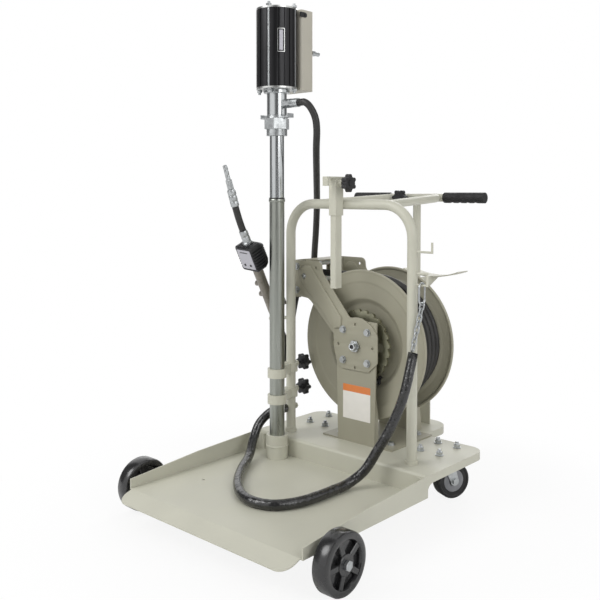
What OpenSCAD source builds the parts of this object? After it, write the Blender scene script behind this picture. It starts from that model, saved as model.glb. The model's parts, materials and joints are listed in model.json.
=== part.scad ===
// Air-operated oil pump cart for a 200 litre drum: a tray on wheels, a hoop frame with a push
// handle, a drum pump with its air motor, a spring hose reel and a metered dispensing gun.
// Millimetres, +Z up, the front edge towards -Y, the origin on the floor midway along the cart.

/* [Tray and deck] */
// Width of the tray and the deck
tray_w = 610; // [590:1:660]
// Thickness of the tray and deck sheet
sheet_t = 3; // [2:0.5:4]
// Length of the tray floor from its front fold to the back wall
tray_l = 470; // [450:1:500]
// Height of the tray floor's underside
floor_z = 84; // [80:1:90]
// Height of the deck's top
deck_z = 140; // [136:1:146]
// Length of the deck behind the back wall
deck_l = 290; // [285:1:320]
// Radius of the deck's rear corners
deck_r = 40; // [20:1:60]
// Depth of the deck's edge skirt
skirt_h = 22; // [16:1:28]
// Width of the rear tongue
tongue_w = 200; // [160:1:240]
// Reach of the rear tongue behind the back wall
tongue_l = 442; // [425:1:470]
// Radius of the tongue's corners
tongue_r = 60; // [30:1:70]
// Reach of the front lip in front of the back wall
lip_l = 518; // [505:1:540]
// Height of the front lip's edge
lip_z = 67; // [60:1:75]

/* [Wheels] */
// Radius of a front wheel
wheel_r = 70; // [60:1:75]
// Width of a front wheel
wheel_w = 41; // [34:1:46]
// Distance of the front axle in front of the back wall
axle_l = 399; // [370:1:420]
// Radius of the front stub axles
axle_r = 8; // [6:0.5:10]
// Radius of a caster wheel
caster_r = 50; // [40:1:52]
// Width of a caster wheel
caster_w = 36; // [28:1:40]
// Trail of a caster
trail = 40; // [25:1:42]
// Distance of a caster's pivot from the middle
caster_x = 206; // [190:1:208]
// Distance of a caster's pivot behind the back wall
caster_l = 206; // [200:1:212]
// Turn of both casters from straight back
caster_turn = 25; // [0:1:30]

/* [Hoop and handle] */
// Distance of each hoop post from the middle
hoop_x = 219; // [210:1:235]
// Distance of the hoop behind the back wall
hoop_l = 54; // [50:1:60]
// Height of the hoop's top bar, on its centreline
hoop_z = 826; // [800:1:850]
// Radius of the hoop's tube
hoop_r = 14; // [12:0.5:15]
// Wall of the frame's tubes
tube_t = 2; // [1.5:0.1:2.5]
// Bend radius of the hoop
hoop_bend = 90; // [60:1:95]
// Radius of the handle loop's tube
loop_r = 12.5; // [11:0.5:14]
// Distance of the handle's rear bar behind the back wall
loop_l = 396; // [390:1:405]
// Height of the handle's rear bar
loop_z = 843; // [835:1:860]
// Half width of the handle loop at the hoop
loop_front_x = 130; // [115:1:140]
// Half width of the handle loop at its rear corners
loop_rear_x = 90; // [80:1:100]
// Bend radius of the loop's rear corners
loop_bend = 60; // [40:1:70]
// Where each hand grip begins, from the middle
grip_x = 102; // [98:1:110]
// Length of each hand grip
grip_l = 132; // [120:1:150]
// Radius of each hand grip
grip_r = 16; // [15:0.5:18]

/* [Drum pump] */
// Distance of the pump from the middle
pump_x = 193; // [188:1:198]
// Distance of the pump in front of the back wall
pump_l = 33; // [30:1:36]
// Radius of the lower suction tube
lower_r = 21.75; // [20:0.25:22.5]
// Radius of the upper suction tube
upper_r = 21; // [20:0.25:22]
// Bore radius of both tubes
bore_r = 18; // [16:0.5:19]
// Height where the two tubes meet
joint_z = 841; // [820:1:860]
// Height of the bung adaptor's underside
bung_z = 1022; // [1010:1:1035]
// Height of the pump neck's underside
neck_z = 1081; // [1076:1:1086]
// Radius of the pump neck
neck_r = 29; // [26:1:32]
// Height of the air motor's underside
motor_z = 1154; // [1150:1:1160]
// Height of the air motor between its end faces
motor_h = 230; // [215:1:245]
// Radius of the air motor
motor_r = 59; // [55:1:60]
// Radius of the air cylinder's bore
cyl_r = 46; // [42:1:47]
// Stroke of the air motor
stroke = 76; // [50:1:90]

/* [Hose reel] */
// Height of the reel's shaft
reel_z = 420; // [415:1:430]
// Distance of the reel's middle plane behind the back wall
reel_l = 195; // [193:1:198]
// Radius of the reel's flanges
flange_r = 217; // [205:1:220]
// Distance between the rims of the two flanges
flange_gap = 144; // [140:1:150]
// Radius of the flanges' dished middle
dish_r = 134; // [125:1:140]
// Thickness of the flange sheet
flange_t = 2; // [1.5:0.1:2.5]
// Diameter of both hoses
hose_d = 20; // [18:0.5:21]
// Turns of hose in the outer layer
turns = 5; // [4:1:5]
// Radius of the wound hose's outside
coil_r = 180; // [170:1:185]
// Radius of the ratchet gear
gear_r = 103; // [95:1:108]
// Number of teeth of the ratchet gear
teeth = 24; // [18:1:30]
// Thickness of the reel's plates
plate_t = 4; // [3:0.5:5]

/* [Hidden] */
$fn = 48;
over = 1;
weld = 0.05;
run = 0.08;
slip = 0.3;
nut_sides = 6;
saddle_gap = 74;
saddle_w = 60;
wall_y = (lip_l - (loop_l + saddle_gap + saddle_w)) / 2;
paint = "#b9b9a9";
paint_dark = "#a2a291";
steel = "#b4b7ba";
black = "#1b1b1d";

// Tray details
bend_r = 8;
skirt_z = deck_z - skirt_h;
knee_l = 240;
knee_h = 46;
front_h = 27;
web_r = 25;
well_r = 30;
lip_r = 32;
lip_in = 8;
lip_plan = lip_l - tray_l + lip_r;
drain_x = -210;
drain_l = 300;
drain_r = 4;
deck_y = wall_y;
front_y = wall_y - tray_l;

// Fasteners
bolt_r = 5;
bolt_hole = bolt_r + slip;
head_r = 9;
head_h = 6;
washer_r = 11;
washer_t = 2;

// Front axle
axle_y = wall_y - axle_l;
axle_z = wheel_r;
ear_t = 6;
ear_r = 14;
ear_gap = 60;
ear_in = 9;
ear_x = tray_w / 2 - ear_in;
wheel_x = tray_w / 2 + wheel_w;
spacer_r = 12;
wheel_hub_r = 24;
tread_t = 20;
wheel_rim_r = wheel_r - tread_t;
wheel_recess = 12;
wheel_chamfer = 4;
spokes = 5;
spoke_turn = 52;
axle_nut_h = 7.5;
axle_nut_r = 12;

// Casters
caster_y = wall_y + caster_l;
caster_plate_w = 90;
caster_plate_l = 112;
caster_plate_t = 4;
caster_bolt_w = 62;
caster_bolt_l = 90;
king_r = 8;
king_head_r = 13;
race_r = 30;
race_t = 4;
race_z = deck_z - sheet_t - caster_plate_t - race_t;
fork_t = 3;
fork_w = caster_w + 2 * (fork_t + over + slip);
fork_deck_z = race_z - slip;
fork_l = 26;
caster_axle_r = 6;
caster_hub_r = 14;
caster_face = 3;

// Hoop, hooks and chain bolt
hoop_y = wall_y + hoop_l;
foot_t = 3;
foot_r = hoop_r + foot_t;
foot_h = 10;
hook_r = 3;
hook_reach = 48;
hook_lip = 26;
hook_down = 122;
hook_z = hoop_z - hook_down;
eye_down = 179;
eye_z = hoop_z - eye_down;
eye_reach = 34;
eye_h = 30;
chain_bolt_z = 214;
chain_bolt_l = 17;

// Handle
loop_y = wall_y + loop_l;
loop_run = norm([loop_l - hoop_l, loop_z - hoop_z]);
loop_tilt = atan2(loop_z - hoop_z, loop_l - hoop_l);
leg_turn = atan2(loop_front_x - loop_rear_x, loop_run);
corner_cut = loop_bend * tan((90 - leg_turn) / 2);
handle_knob_x = -42;
grip_end_t = 4;
leg_in = 0.6;
leg_r = loop_r - leg_in;
finger_r = 11;
finger_in = 3;
fingers = 4;
post_r = 12;
foot_plate_w = 104;
foot_plate_h = 85;
foot_plate_t = 4;
foot_notch = 12;

// Hose saddle
saddle_z = 592;
saddle_y = wall_y + loop_l + saddle_gap;
saddle_t = 3;
saddle_r = 280;
saddle_half = 102;
saddle_low = 68;
gusset_t = 5;

// Star knobs
knob_r = 25;
knob_h = 22;
knob_core_share = 0.76;
knob_lobe_share = 0.24;
knob_lobes = 6;
knob_neck_r = 9;
knob_neck_h = 6;
stud_r = 4;

// Drum clamp
sleeve_w = 25;
sleeve_d = 33;
sleeve_h = 102;
sleeve_x = -17.5;
sleeve_z = 795;
sleeve_t = 3;
clamp_gap = 0.3;
bar_bottom_z = 591;
strip_w = 18;
strip_t = 6;
strip_rear = 18;
hook_drop = 20;
hook_out = 25;
clamp_knob_z = 885;
boss_r = 9;
boss_h = 12;
clamp_y = hoop_y - hoop_r - sleeve_d / 2;
strip_z = sleeve_z + sleeve_h + slip;

// Pump
pump_y = wall_y - pump_l;
px = -pump_x;
cup_r = 31;
cup_h = 68;
cup_seat = 5;
ring_in = 1.5;
seam_r = cup_r + ring_in;
seam_h = 5;
foot_z = floor_z + sheet_t;
plug_h = 12;
ring_h = 5;
bung_r = 30;
bung_h = 19;
hex_r = 37;
hex_h = 31;
wing_h = neck_z - bung_z - bung_h - hex_h;
wing_l = 55;
wing_w = 24;
wing_up = 12;
wing_t = 4;
neck_flange_r = 38;
neck_flange_h = 10;
cap_h = 5;
cap_r = motor_r;
rod_r = 4;
rod_in = 4.5;
rod_at = motor_r - rod_in;
rod_over = 12;
rod_turn = 20;
flute_w = 4;
flute_in = 3;
piston_h = 24;
piston_rod_r = 8;
plunger_h = 30;
plunger_lift = 60;
plunger_z = foot_z + cup_seat + plunger_lift;
piston_lift = 14;
piston_z = motor_z + cap_h + piston_lift;
clamp_z = [259, 335];
clamp_h = 26;
clamp_t = 6;
clamp_arm_w = 20;
clamp_stud = 16;
knob_side_z = 7;

// Air valve cover and air inlet
valve_w = 100;
valve_h = 232;
valve_front = 50;
valve_back = 103;
valve_r = 8;
inlet_x = 41;
inlet_up = 113;
inlet_z = motor_z + inlet_up;
inlet_r = 8;
inlet_l = 14;
plug_r = 6;
plug_l = 18;

// Outlet of the pump
outlet_z = 1112;
outlet_r = 13;
outlet_l = 30;
ferrule_r = 12.5;
ferrule_l = 27;
hose_r = hose_d / 2;

// Dispensing gun, along its own axis from the hose inlet
gun_in = 4;
gun_at = [-263, hoop_y + gun_in, 435];
gun_pitch = 27;
gun_dir = [0, -sin(gun_pitch), cos(gun_pitch)];
swivel_r = 12;
swivel_l = 26;
gun_grip_r = 15;
gun_l = 229;
gun_boss_r = 8;
gun_boss_h = 12;
gun_boss_s = [135, 172];
meter_l = 80;
meter_w = 76;
meter_d = 56;
meter_front = 24;
meter_turn = 7;
meter_ribs = 7;
meter_bend_r = 9;
rib_in = 2.5;
face_w = 64;
face_h = 62;
face_t = 2;
guard_s = 66;
trigger_gap = 40;
trigger_in = 11;
trigger_pin_r = 2;
lug_t = 3;
trigger_t = 8;
trigger_pin_s = 128;
trigger_l = 52;
guard_r = 4;
nozzle_r = 12.5;
nozzle_l = 44;
spout_r = 10;
spout_l = 77;
spout_turn = 8;
spout_bend = spout_l / (spout_turn * PI / 180);
end_r = 12;
end_l = 51;
tip_r = 6.5;
tip_l = 71;
tip_knurl_r = 9;
tip_knurl_l = 28;
holder_h = 6;
holder_w = 6;
holder_r = gun_grip_r + holder_w;
holder_s = 50;
holder_arm_w = 24;

// Reel
reel_y = wall_y + reel_l;
rim_y0 = reel_y - flange_gap / 2;
rim_y1 = reel_y + flange_gap / 2;
turn_gap = 0.6;
coil_w = turns * (hose_d + turn_gap);
dish_in = 12;
dish_step = 14;
core_r = coil_r - hose_d;
drum_r = 90;
rim_bead = 4;
shaft_r = 12;
hub_r = 34;
gear_t = 8;
gear_front = 83;
gear_y = reel_y - gear_front;
gear_seat = reel_y - gear_y - gear_t;
tooth_h = 7;
gear_bore = 40;
plate_front = 107;
plate_rear = 101;
plate_y0 = reel_y - plate_front;
plate_y1 = reel_y + plate_rear;
pedestal_y0 = plate_y0 + plate_t;
pedestal_y1 = plate_y1 - plate_t;
pedestal_fold = 20;
pedestal_fold_h = 160;
pedestal_base = 66;
pedestal_top = 74;
pedestal_flange = 34;
hub_w = 78;
hub_cut = 30;
hub_bolt_r = 62;
arm_w = 45;
arm_rib = 20;
arm_rib_h = 4;
head_x0 = 239;
head_x1 = 128;
head_z0 = 541;
head_z1 = 654;
head_round = 16;
bridge_x = head_x0;
bridge_t = 3;
bridge_flange = 24;
window_y = 45;
window_z0 = 596;
window_z1 = 640;
roller_r = 9;
pin_r = 3;
roller_top_z = 641;
roller_low_z = 588;
roller_x = 218;
roller_side_x = 194;
roller_side_y = 42;
cage_y = 54;
cage_t = 3;
lead_lift = 0.3;
cage_x = 180;
cage_drop = 13;
cage_z0 = roller_low_z - cage_drop;
cage_z1 = roller_top_z + roller_r + over;
lead_z = reel_z + coil_r + hose_r + lead_lift;
lead_turn = 50;
lead_steps = 5;
lead_r = lead_z - reel_z;
lead_end = 250;
lead_path = concat([for (i = [0 : lead_steps]) let (a = 90 - lead_turn * (1 - i / lead_steps))
    [lead_r * cos(a), reel_y, reel_z + lead_r * sin(a)]],
    [for (i = [1 : lead_steps]) [-lead_end * i / lead_steps, reel_y, lead_z]]);
base_plate_w = 250;
base_plate_t = 4;
base_in = 1;
base_out = 4;
base_y0 = pedestal_y0 + base_in;
base_y1 = pedestal_y1 + base_out;
base_bolt_x = 92;
base_bolt_front = 58;
base_bolt_rear = 76;
base_bolt_y = [reel_y - base_bolt_front, reel_y + base_bolt_rear];
shaft_end = 14;
swivel_gap = 49;
swivel_y = plate_y1 + swivel_gap;
swivel_reach = 58;
pawl_x = 60;
pawl_down = 98;
pawl_at = [pawl_x, gear_y, reel_z - pawl_down];
pawl_turn = -57;
pawl_l = 20;
pawl_r = 9;
pawl_pin_r = 4;

// Outer layer of hose on the reel
wind_r = coil_r - hose_r;
rings_per_turn = 24;
wind_sides = 6;
wind_pitch = hose_d + turn_gap;
wind_path = [for (i = [0 : turns * rings_per_turn]) let (a = i * 360 / rings_per_turn)
    [wind_r * cos(a), wind_r * sin(a), wind_pitch * (i / rings_per_turn - turns / 2)]];
wind_gap = min([for (i = [0 : turns * rings_per_turn - rings_per_turn])
    norm(wind_path[i] - wind_path[i + rings_per_turn])]) - hose_d;

// Chain and cords, with routes as round numbers
cord_sides = 8;
sleeve_sides = 12;
link_r = 2.2;
link_w = 12;
link_l = 24.6;
ring_r = 2.6;
ring_w = 26;
ring_l = 62;
ring_x = hoop_x + hoop_r - tube_t / 2 + eye_reach / 2;
ring_z = eye_z - eye_h + hook_r + slip - ring_l / 2 + 2 * ring_r;
gate_z0 = -12;
gate_z1 = 14;
gate_r = 2.2;
links = 8;
chain_r = 13;
outlet_x = px + neck_r + outlet_l + ferrule_l;
swivel_x = swivel_reach + ferrule_l;
pump_hose_route = [
    [outlet_x, pump_y, outlet_z], [outlet_x + hose_d, pump_y, outlet_z], [-70, -35, 1099],
    [-59, -25, 1070],
    [-62, -14, 1035], [-90, 16, 980], [-150, 86, 900], [-205, 150, 825], [-240, 186, 745],
    [-264, 206, 665], [-282, 224, 600], [-297, 256, 545], [-288, 306, 482], [-240, 338, 436],
    [-swivel_x - hose_d, swivel_y, reel_z], [-swivel_x, swivel_y, reel_z]];
reel_hose_route = [
    [-lead_end, reel_y, lead_z], [-270, reel_y, lead_z], [-298, 189, 594], [-318, 189, 552],
    [-326, 180, 500], [-324, 160, 430], [-312, 130, 370], [-296, 100, 340], [-280, 80, 345],
    [-268, 68, 380], gun_at - gun_dir * hose_d, gun_at];
chain_sleeve_route = [
    [236, 28, 440], [237, 18, 414], [236, -6, 350], [220, -10, 300], [198, -24, 240],
    [172, -40, 186], [146, -62, 132], [124, -104, 103], [120, -160, 100.2], [118, -216, 100.2],
    [108, -276, 100.2], [76, -330, 100.2], [17, -348, 100.2], [-46, -326, 100.2],
    [-112, -272, 100.2], [-172, -200, 100.2], [-216, -130, 108], [-246, -84, 138],
    [-254, -52, 176], [-240, -20, 206], [-hoop_x, -4, chain_bolt_z],
    [-hoop_x, hoop_y - chain_bolt_l - head_h - slip, chain_bolt_z]];
chain_top = [ring_x, hoop_y,
    ring_z - ring_l / 2 + 2 * (ring_r + link_r + slip) - link_l / 2];
chain_end = chain_sleeve_route[0] + [0, 0, link_l / 2 + link_r + slip];

// Round bar between two points
module rod(a, b, r) {
    d = b - a;
    translate(a) rotate([0, acos(d[2] / norm(d)), atan2(d[1], d[0])]) cylinder(h = norm(d), r = r);
}

// Cylinder along +Y from a point
module rod_y(at, l, r, sides = 48) {
    translate(at) rotate([-90, 0, 0]) cylinder(h = l, r = r, $fn = sides);
}

// Cylinder along +X from a point
module rod_x(at, l, r, sides = 48) {
    translate(at) rotate([0, 90, 0]) cylinder(h = l, r = r, $fn = sides);
}

// Outline in X and Z, extruded along +Y from y0
module plate_xz(y0, t) {
    translate([0, y0 + t, 0]) rotate([90, 0, 0]) linear_extrude(t) children();
}

// Outline in Y and Z, extruded along +X from x0
module plate_yz(x0, t) {
    translate([x0, 0, 0]) rotate([90, 0, 90]) linear_extrude(t) children();
}

// Rectangle with true round corners
module round_rect(w, d, r) {
    square([w - 2 * r, d], center = true);
    square([w, d - 2 * r], center = true);
    for (x = [-1, 1], y = [-1, 1]) translate([x * (w / 2 - r), y * (d / 2 - r)]) circle(r);
}

// Tube along +Z
module pipe(r, bore, h) {
    difference() {
        cylinder(h = h, r = r);
        translate([0, 0, -over]) cylinder(h = h + 2 * over, r = bore);
    }
}

// Hexagon bolt head or nut on its washer, along +Z
module bolt_head(r = head_r, h = head_h) {
    cylinder(h = washer_t, r = r + washer_r - head_r);
    translate([0, 0, washer_t]) cylinder(h = h, r = r, $fn = nut_sides);
}

// Star knob: its stud points to -Z from the origin, its head stands on +Z
module star_knob(stud_l) {
    color(black) {
        translate([0, 0, -stud_l]) cylinder(h = stud_l + over, r = stud_r);
        cylinder(h = knob_neck_h, r1 = knob_neck_r, r2 = knob_neck_r);
        translate([0, 0, knob_neck_h]) linear_extrude(knob_h - knob_neck_h) {
            circle(knob_r * knob_core_share);
            for (i = [0 : knob_lobes - 1]) rotate([0, 0, i * 360 / knob_lobes])
                translate([knob_r * knob_core_share, 0]) circle(knob_r * knob_lobe_share);
        }
        translate([0, 0, knob_h]) cylinder(h = knob_neck_h / 2, r = knob_neck_r);
    }
}

// Point of a smooth curve through four route points
function curve(a, b, c, d, t) = ((b * 2) + (c - a) * t + (a * 2 - b * 5 + c * 4 - d) * t * t
    + (b * 3 - a - c * 3 + d) * t * t * t) / 2;

// Route with extra points between its own, straight in its first and last stretch
function smooth(p, n) = concat([p[0]], [for (i = [1 : len(p) - 3], j = [0 : n - 1])
    curve(p[i - 1], p[i], p[i + 1], p[i + 2], j / n)], [p[len(p) - 2], p[len(p) - 1]]);
function unit(v) = v / norm(v);
function heading(p, i) = unit(p[min(i + 1, len(p) - 1)] - p[max(i - 1, 0)]);
function carried(v, t) = unit(v - t * (v * t));

// Side vectors carried along a route without twist
function sides_along(p, i, v) = i == len(p) ? [] :
    let (s = carried(v, heading(p, i))) concat([s], sides_along(p, i + 1, s));

// Tube swept along points, as one closed skin
module sweep(p, r, n) {
    s = sides_along(p, 0, carried([0.31, 0.87, 0.38], heading(p, 0)));
    points = [for (i = [0 : len(p) - 1], j = [0 : n - 1])
        let (t = heading(p, i), b = cross(t, s[i]))
        p[i] + r * (cos(j * 360 / n) * s[i] + sin(j * 360 / n) * b)];
    m = len(p);
    walls = [for (i = [0 : m - 2], j = [0 : n - 1], k = [0, 1])
        let (a = i * n + j, b = i * n + (j + 1) % n)
        k == 0 ? [a, a + n, b] : [b, a + n, b + n]];
    first = [for (j = [0 : n - 1]) j];
    last = [for (j = [0 : n - 1]) m * n - 1 - j];
    polyhedron(points = points, faces = concat([first, last], walls), convexity = 10);
}

// Side sheet of the tray: sloping top, and a round web under the deck
module side_profile() {
    polygon([[front_y, floor_z], [wall_y, floor_z], [wall_y, skirt_z], [wall_y + bend_r, skirt_z],
        [wall_y + bend_r, deck_z], [wall_y - knee_l, floor_z + knee_h],
        [front_y, floor_z + front_h]]);
    difference() {
        translate([wall_y, skirt_z - web_r]) square(web_r);
        translate([wall_y + web_r, skirt_z - web_r]) circle(web_r);
    }
}

// Outline of the deck with its rear tongue
module deck_outline(inset) {
    translate([0, deck_y]) {
        translate([inset - tray_w / 2, 0]) square([tray_w - 2 * inset, deck_l - deck_r]);
        translate([deck_r - tray_w / 2, 0]) square([tray_w - 2 * deck_r, deck_l - inset]);
        translate([inset - tongue_w / 2, 0]) square([tongue_w - 2 * inset, tongue_l - tongue_r]);
        translate([tongue_r - tongue_w / 2, 0])
            square([tongue_w - 2 * tongue_r, tongue_l - inset]);
        for (s = [-1, 1]) {
            translate([s * (tray_w / 2 - deck_r), deck_l - deck_r]) circle(deck_r - inset);
            translate([s * (tongue_w / 2 - tongue_r), tongue_l - tongue_r])
                circle(tongue_r - inset);
        }
    }
}

module deck() {
    difference() {
        translate([0, 0, skirt_z]) linear_extrude(skirt_h) deck_outline(0);
        translate([0, 0, skirt_z - over]) linear_extrude(skirt_h - sheet_t + over)
            deck_outline(sheet_t);
        translate([-tray_w, deck_y - over, deck_z - bend_r])
            cube([2 * tray_w, bend_r + over, bend_r + over]);
    }
    plate_yz(-tray_w / 2, tray_w) translate([wall_y + bend_r, deck_z - bend_r])
        intersection() {
            difference() {
                circle(bend_r);
                circle(bend_r - sheet_t);
            }
            translate([-bend_r, 0]) square(bend_r);
        }
}

module caster_holes(r) {
    for (s = [-1, 1], x = [-1, 1], y = [-1, 1])
        translate([s * caster_x + x * caster_bolt_w / 2, caster_y + y * caster_bolt_l / 2,
            skirt_z]) cylinder(h = skirt_h + over, r = r);
}

module base_holes(r, z, h) {
    for (x = [-1, 1], y = base_bolt_y) translate([x * base_bolt_x, y, z]) cylinder(h = h, r = r);
}

module tray() {
    color(paint) difference() {
        union() {
            translate([-tray_w / 2, front_y, floor_z]) cube([tray_w, tray_l + sheet_t, sheet_t]);
            for (x = [-tray_w / 2, tray_w / 2 - sheet_t]) plate_yz(x, sheet_t) side_profile();
            translate([-tray_w / 2, wall_y, floor_z])
                cube([tray_w, sheet_t, deck_z - bend_r - floor_z]);
            for (s = [-1, 1]) translate([s * (tray_w / 2 - well_r), wall_y - well_r, floor_z])
                linear_extrude(deck_z - bend_r - floor_z) difference() {
                    translate([s > 0 ? 0 : -well_r, 0]) square(well_r);
                    circle(well_r - sheet_t);
                }
            intersection() {
                plate_yz(-tray_w / 2, tray_w) polygon([[front_y + over, floor_z],
                    [front_y + over, floor_z + sheet_t], [front_y, floor_z + sheet_t],
                    [wall_y - lip_l, lip_z + sheet_t], [wall_y - lip_l, lip_z],
                    [front_y, floor_z]]);
                translate([0, wall_y - lip_l + lip_plan, 0]) linear_extrude(deck_z)
                    round_rect(tray_w - 2 * lip_in, 2 * lip_plan, lip_r);
            }
            deck();
        }
        translate([drain_x, wall_y - drain_l, 0]) cylinder(h = deck_z, r = drain_r);
        caster_holes(bolt_hole);
        base_holes(bolt_hole, skirt_z, skirt_h + over);
    }
}

// Ears and stub axles under the floor, one set on each side
module axle_mounts() {
    color(steel) for (s = [-1, 1]) {
        for (x = [ear_x - ear_gap, ear_x]) plate_yz(s > 0 ? x - ear_t : -x, ear_t) {
            translate([axle_y, axle_z]) circle(ear_r);
            translate([axle_y - ear_r, axle_z]) square([2 * ear_r, floor_z - axle_z]);
        }
        start = s * (ear_x - ear_gap - ear_t);
        inner = s * (wheel_x - wheel_w / 2 - slip);
        outer = s * (wheel_x + wheel_w / 2 + slip);
        rod([start, axle_y, axle_z], [outer + s * axle_nut_h, axle_y, axle_z], axle_r);
        rod([s * ear_x, axle_y, axle_z], [inner, axle_y, axle_z], spacer_r);
        translate([outer, axle_y, axle_z]) rotate([0, s * 90, 0])
            cylinder(h = axle_nut_h, r = axle_nut_r, $fn = nut_sides);
    }
}

// Moulded wheel with wedge recesses between its spokes, on both faces
module front_wheel(s) {
    color(black) translate([s * wheel_x, axle_y, axle_z]) rotate([0, s * 90, 0]) difference() {
        rotate_extrude($fn = 72) polygon([[axle_r + run, -wheel_w / 2],
            [wheel_r - wheel_chamfer, -wheel_w / 2], [wheel_r, wheel_chamfer - wheel_w / 2],
            [wheel_r, wheel_w / 2 - wheel_chamfer], [wheel_r - wheel_chamfer, wheel_w / 2],
            [axle_r + run, wheel_w / 2]]);
        for (i = [0 : spokes - 1], z = [-wheel_w / 2 - over, wheel_w / 2 - wheel_recess])
            translate([0, 0, z]) rotate([0, 0, i * 360 / spokes])
                rotate_extrude(angle = spoke_turn) translate([wheel_hub_r, 0])
                    square([wheel_rim_r - wheel_hub_r, wheel_recess + over]);
    }
}

// Mounting plates, king pins and studs of the casters
module caster_plates() {
    color(steel) for (s = [-1, 1]) translate([s * caster_x, caster_y, 0]) {
        translate([0, 0, deck_z - sheet_t - caster_plate_t]) linear_extrude(caster_plate_t)
            round_rect(caster_plate_w, caster_plate_l, bend_r);
        translate([0, 0, race_z]) cylinder(h = race_t, r = race_r);
        translate([0, 0, race_z - fork_t - 3 * slip - race_t])
            cylinder(h = fork_t + 3 * slip + race_t, r = king_r);
        translate([0, 0, race_z - fork_t - 3 * slip - race_t]) cylinder(h = race_t, r = king_head_r);
        for (x = [-1, 1], y = [-1, 1])
            translate([x * caster_bolt_w / 2, y * caster_bolt_l / 2, deck_z - sheet_t]) {
                cylinder(h = sheet_t + washer_t + head_h + sheet_t, r = bolt_r);
                translate([0, 0, sheet_t]) bolt_head();
            }
    }
}

module at_caster(s) {
    translate([s * caster_x, caster_y, 0]) rotate([0, 0, -caster_turn]) children();
}

// Fork of a caster: a top plate on the king pin and two cheeks down to the axle
module caster_fork(s) {
    color(steel) at_caster(s) {
        difference() {
            union() {
                translate([0, 0, fork_deck_z - fork_t]) cylinder(h = fork_t, r = race_r);
                translate([-fork_w / 2, 0, fork_deck_z - fork_t])
                    cube([fork_w, race_r, fork_t]);
            }
            translate([0, 0, fork_deck_z - fork_t - over])
                cylinder(h = fork_t + 2 * over, r = king_r + run);
        }
        for (x = [-fork_w / 2, fork_w / 2 - fork_t]) plate_yz(x, fork_t) {
            polygon([[-race_r / 2, fork_deck_z], [race_r, fork_deck_z],
                [trail + fork_l / 2, caster_r], [trail - fork_l / 2, caster_r]]);
            translate([trail, caster_r]) circle(fork_l / 2);
        }
        rod_x([-fork_w / 2 - washer_t, trail, caster_r], fork_w + 2 * washer_t, caster_axle_r);
        rod_x([-fork_w / 2 - head_h, trail, caster_r], head_h, head_r, nut_sides);
        rod_x([fork_w / 2, trail, caster_r], head_h, head_r, nut_sides);
    }
}

module caster_wheel(s) {
    color(black) at_caster(s) translate([0, trail, caster_r]) rotate([0, 90, 0])
        rotate_extrude($fn = 72) polygon([[caster_axle_r + run, -caster_w / 2 - over],
            [caster_hub_r, -caster_w / 2 - over], [caster_hub_r, caster_face - caster_w / 2],
            [caster_r - 3 * caster_face, caster_face - caster_w / 2],
            [caster_r - 2 * caster_face, -caster_w / 2], [caster_r - caster_face, -caster_w / 2],
            [caster_r, caster_face - caster_w / 2], [caster_r, caster_w / 2 - caster_face],
            [caster_r - caster_face, caster_w / 2], [caster_r - 2 * caster_face, caster_w / 2],
            [caster_r - 3 * caster_face, caster_w / 2 - caster_face],
            [caster_hub_r, caster_w / 2 - caster_face], [caster_hub_r, caster_w / 2 + over],
            [caster_axle_r + run, caster_w / 2 + over]]);
}

// Path of the hoop's tube at a given radius
module hoop_path(r, below) {
    for (s = [-1, 1]) {
        translate([s * hoop_x, hoop_y, deck_z - below])
            cylinder(h = hoop_z - hoop_bend - deck_z + below, r = r);
        translate([s * (hoop_x - hoop_bend), hoop_y, hoop_z - hoop_bend]) rotate([90, 0, 0])
            rotate([0, 0, s > 0 ? 0 : 90]) rotate_extrude(angle = 90)
                translate([hoop_bend, 0]) circle(r);
    }
    rod_x([hoop_bend - hoop_x, hoop_y, hoop_z], 2 * (hoop_x - hoop_bend), r);
}

module hoop_frame() {
    color(paint) {
        difference() {
            union() {
                hoop_path(hoop_r, 0);
                for (s = [-1, 1]) translate([s * hoop_x, hoop_y, deck_z])
                    cylinder(h = foot_h, r = foot_r);
            }
            hoop_path(hoop_r - tube_t, over);
        }
        hx = hoop_x + hoop_r - tube_t / 2;
        rod([hx, hoop_y, hook_z], [hx + hook_reach, hoop_y, hook_z], hook_r);
        rod([hx + hook_reach, hoop_y, hook_z - hook_r],
            [hx + hook_reach, hoop_y, hook_z + hook_lip], hook_r);
        for (z = [eye_z, eye_z - eye_h])
            rod([hx, hoop_y, z], [hx + eye_reach, hoop_y, z], hook_r);
        rod([hx + eye_reach, hoop_y, eye_z - eye_h - hook_r],
            [hx + eye_reach, hoop_y, eye_z + hook_r], hook_r);
    }
    color(steel) {
        rod_y([-hoop_x, hoop_y - chain_bolt_l, chain_bolt_z], 2 * chain_bolt_l, bolt_r);
        rod_y([-hoop_x, hoop_y - chain_bolt_l - head_h, chain_bolt_z], head_h, head_r, nut_sides);
        rod_y([-hoop_x, hoop_y + chain_bolt_l, chain_bolt_z], head_h, head_r, nut_sides);
    }
}

// Handle loop in its own tilted plane: two bent legs on one straight rear tube
module handle_loop() {
    x = loop_rear_x - corner_cut;
    leg = (loop_run - corner_cut * cos(leg_turn)) / cos(leg_turn);
    color(paint) difference() {
        translate([0, hoop_y, hoop_z]) rotate([loop_tilt, 0, 0]) {
            for (s = [0, 1]) mirror([s, 0, 0]) translate([x, loop_run - loop_bend, 0])
                rotate([0, 0, leg_turn]) {
                    rotate_extrude(angle = 90 - leg_turn) translate([loop_bend, 0])
                        circle(leg_r);
                    translate([loop_bend, 0, 0]) rotate([90, 0, 0]) cylinder(h = leg, r = leg_r);
                }
            rod_x([-grip_x - grip_l, loop_run, 0], 2 * (grip_x + grip_l), loop_r);
        }
        rod_x([-tray_w / 2, hoop_y, hoop_z], tray_w, hoop_r + weld);
        rod_y([handle_knob_x, loop_y - 2 * loop_r, loop_z], 2 * loop_r, stud_r + run);
    }
}

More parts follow.
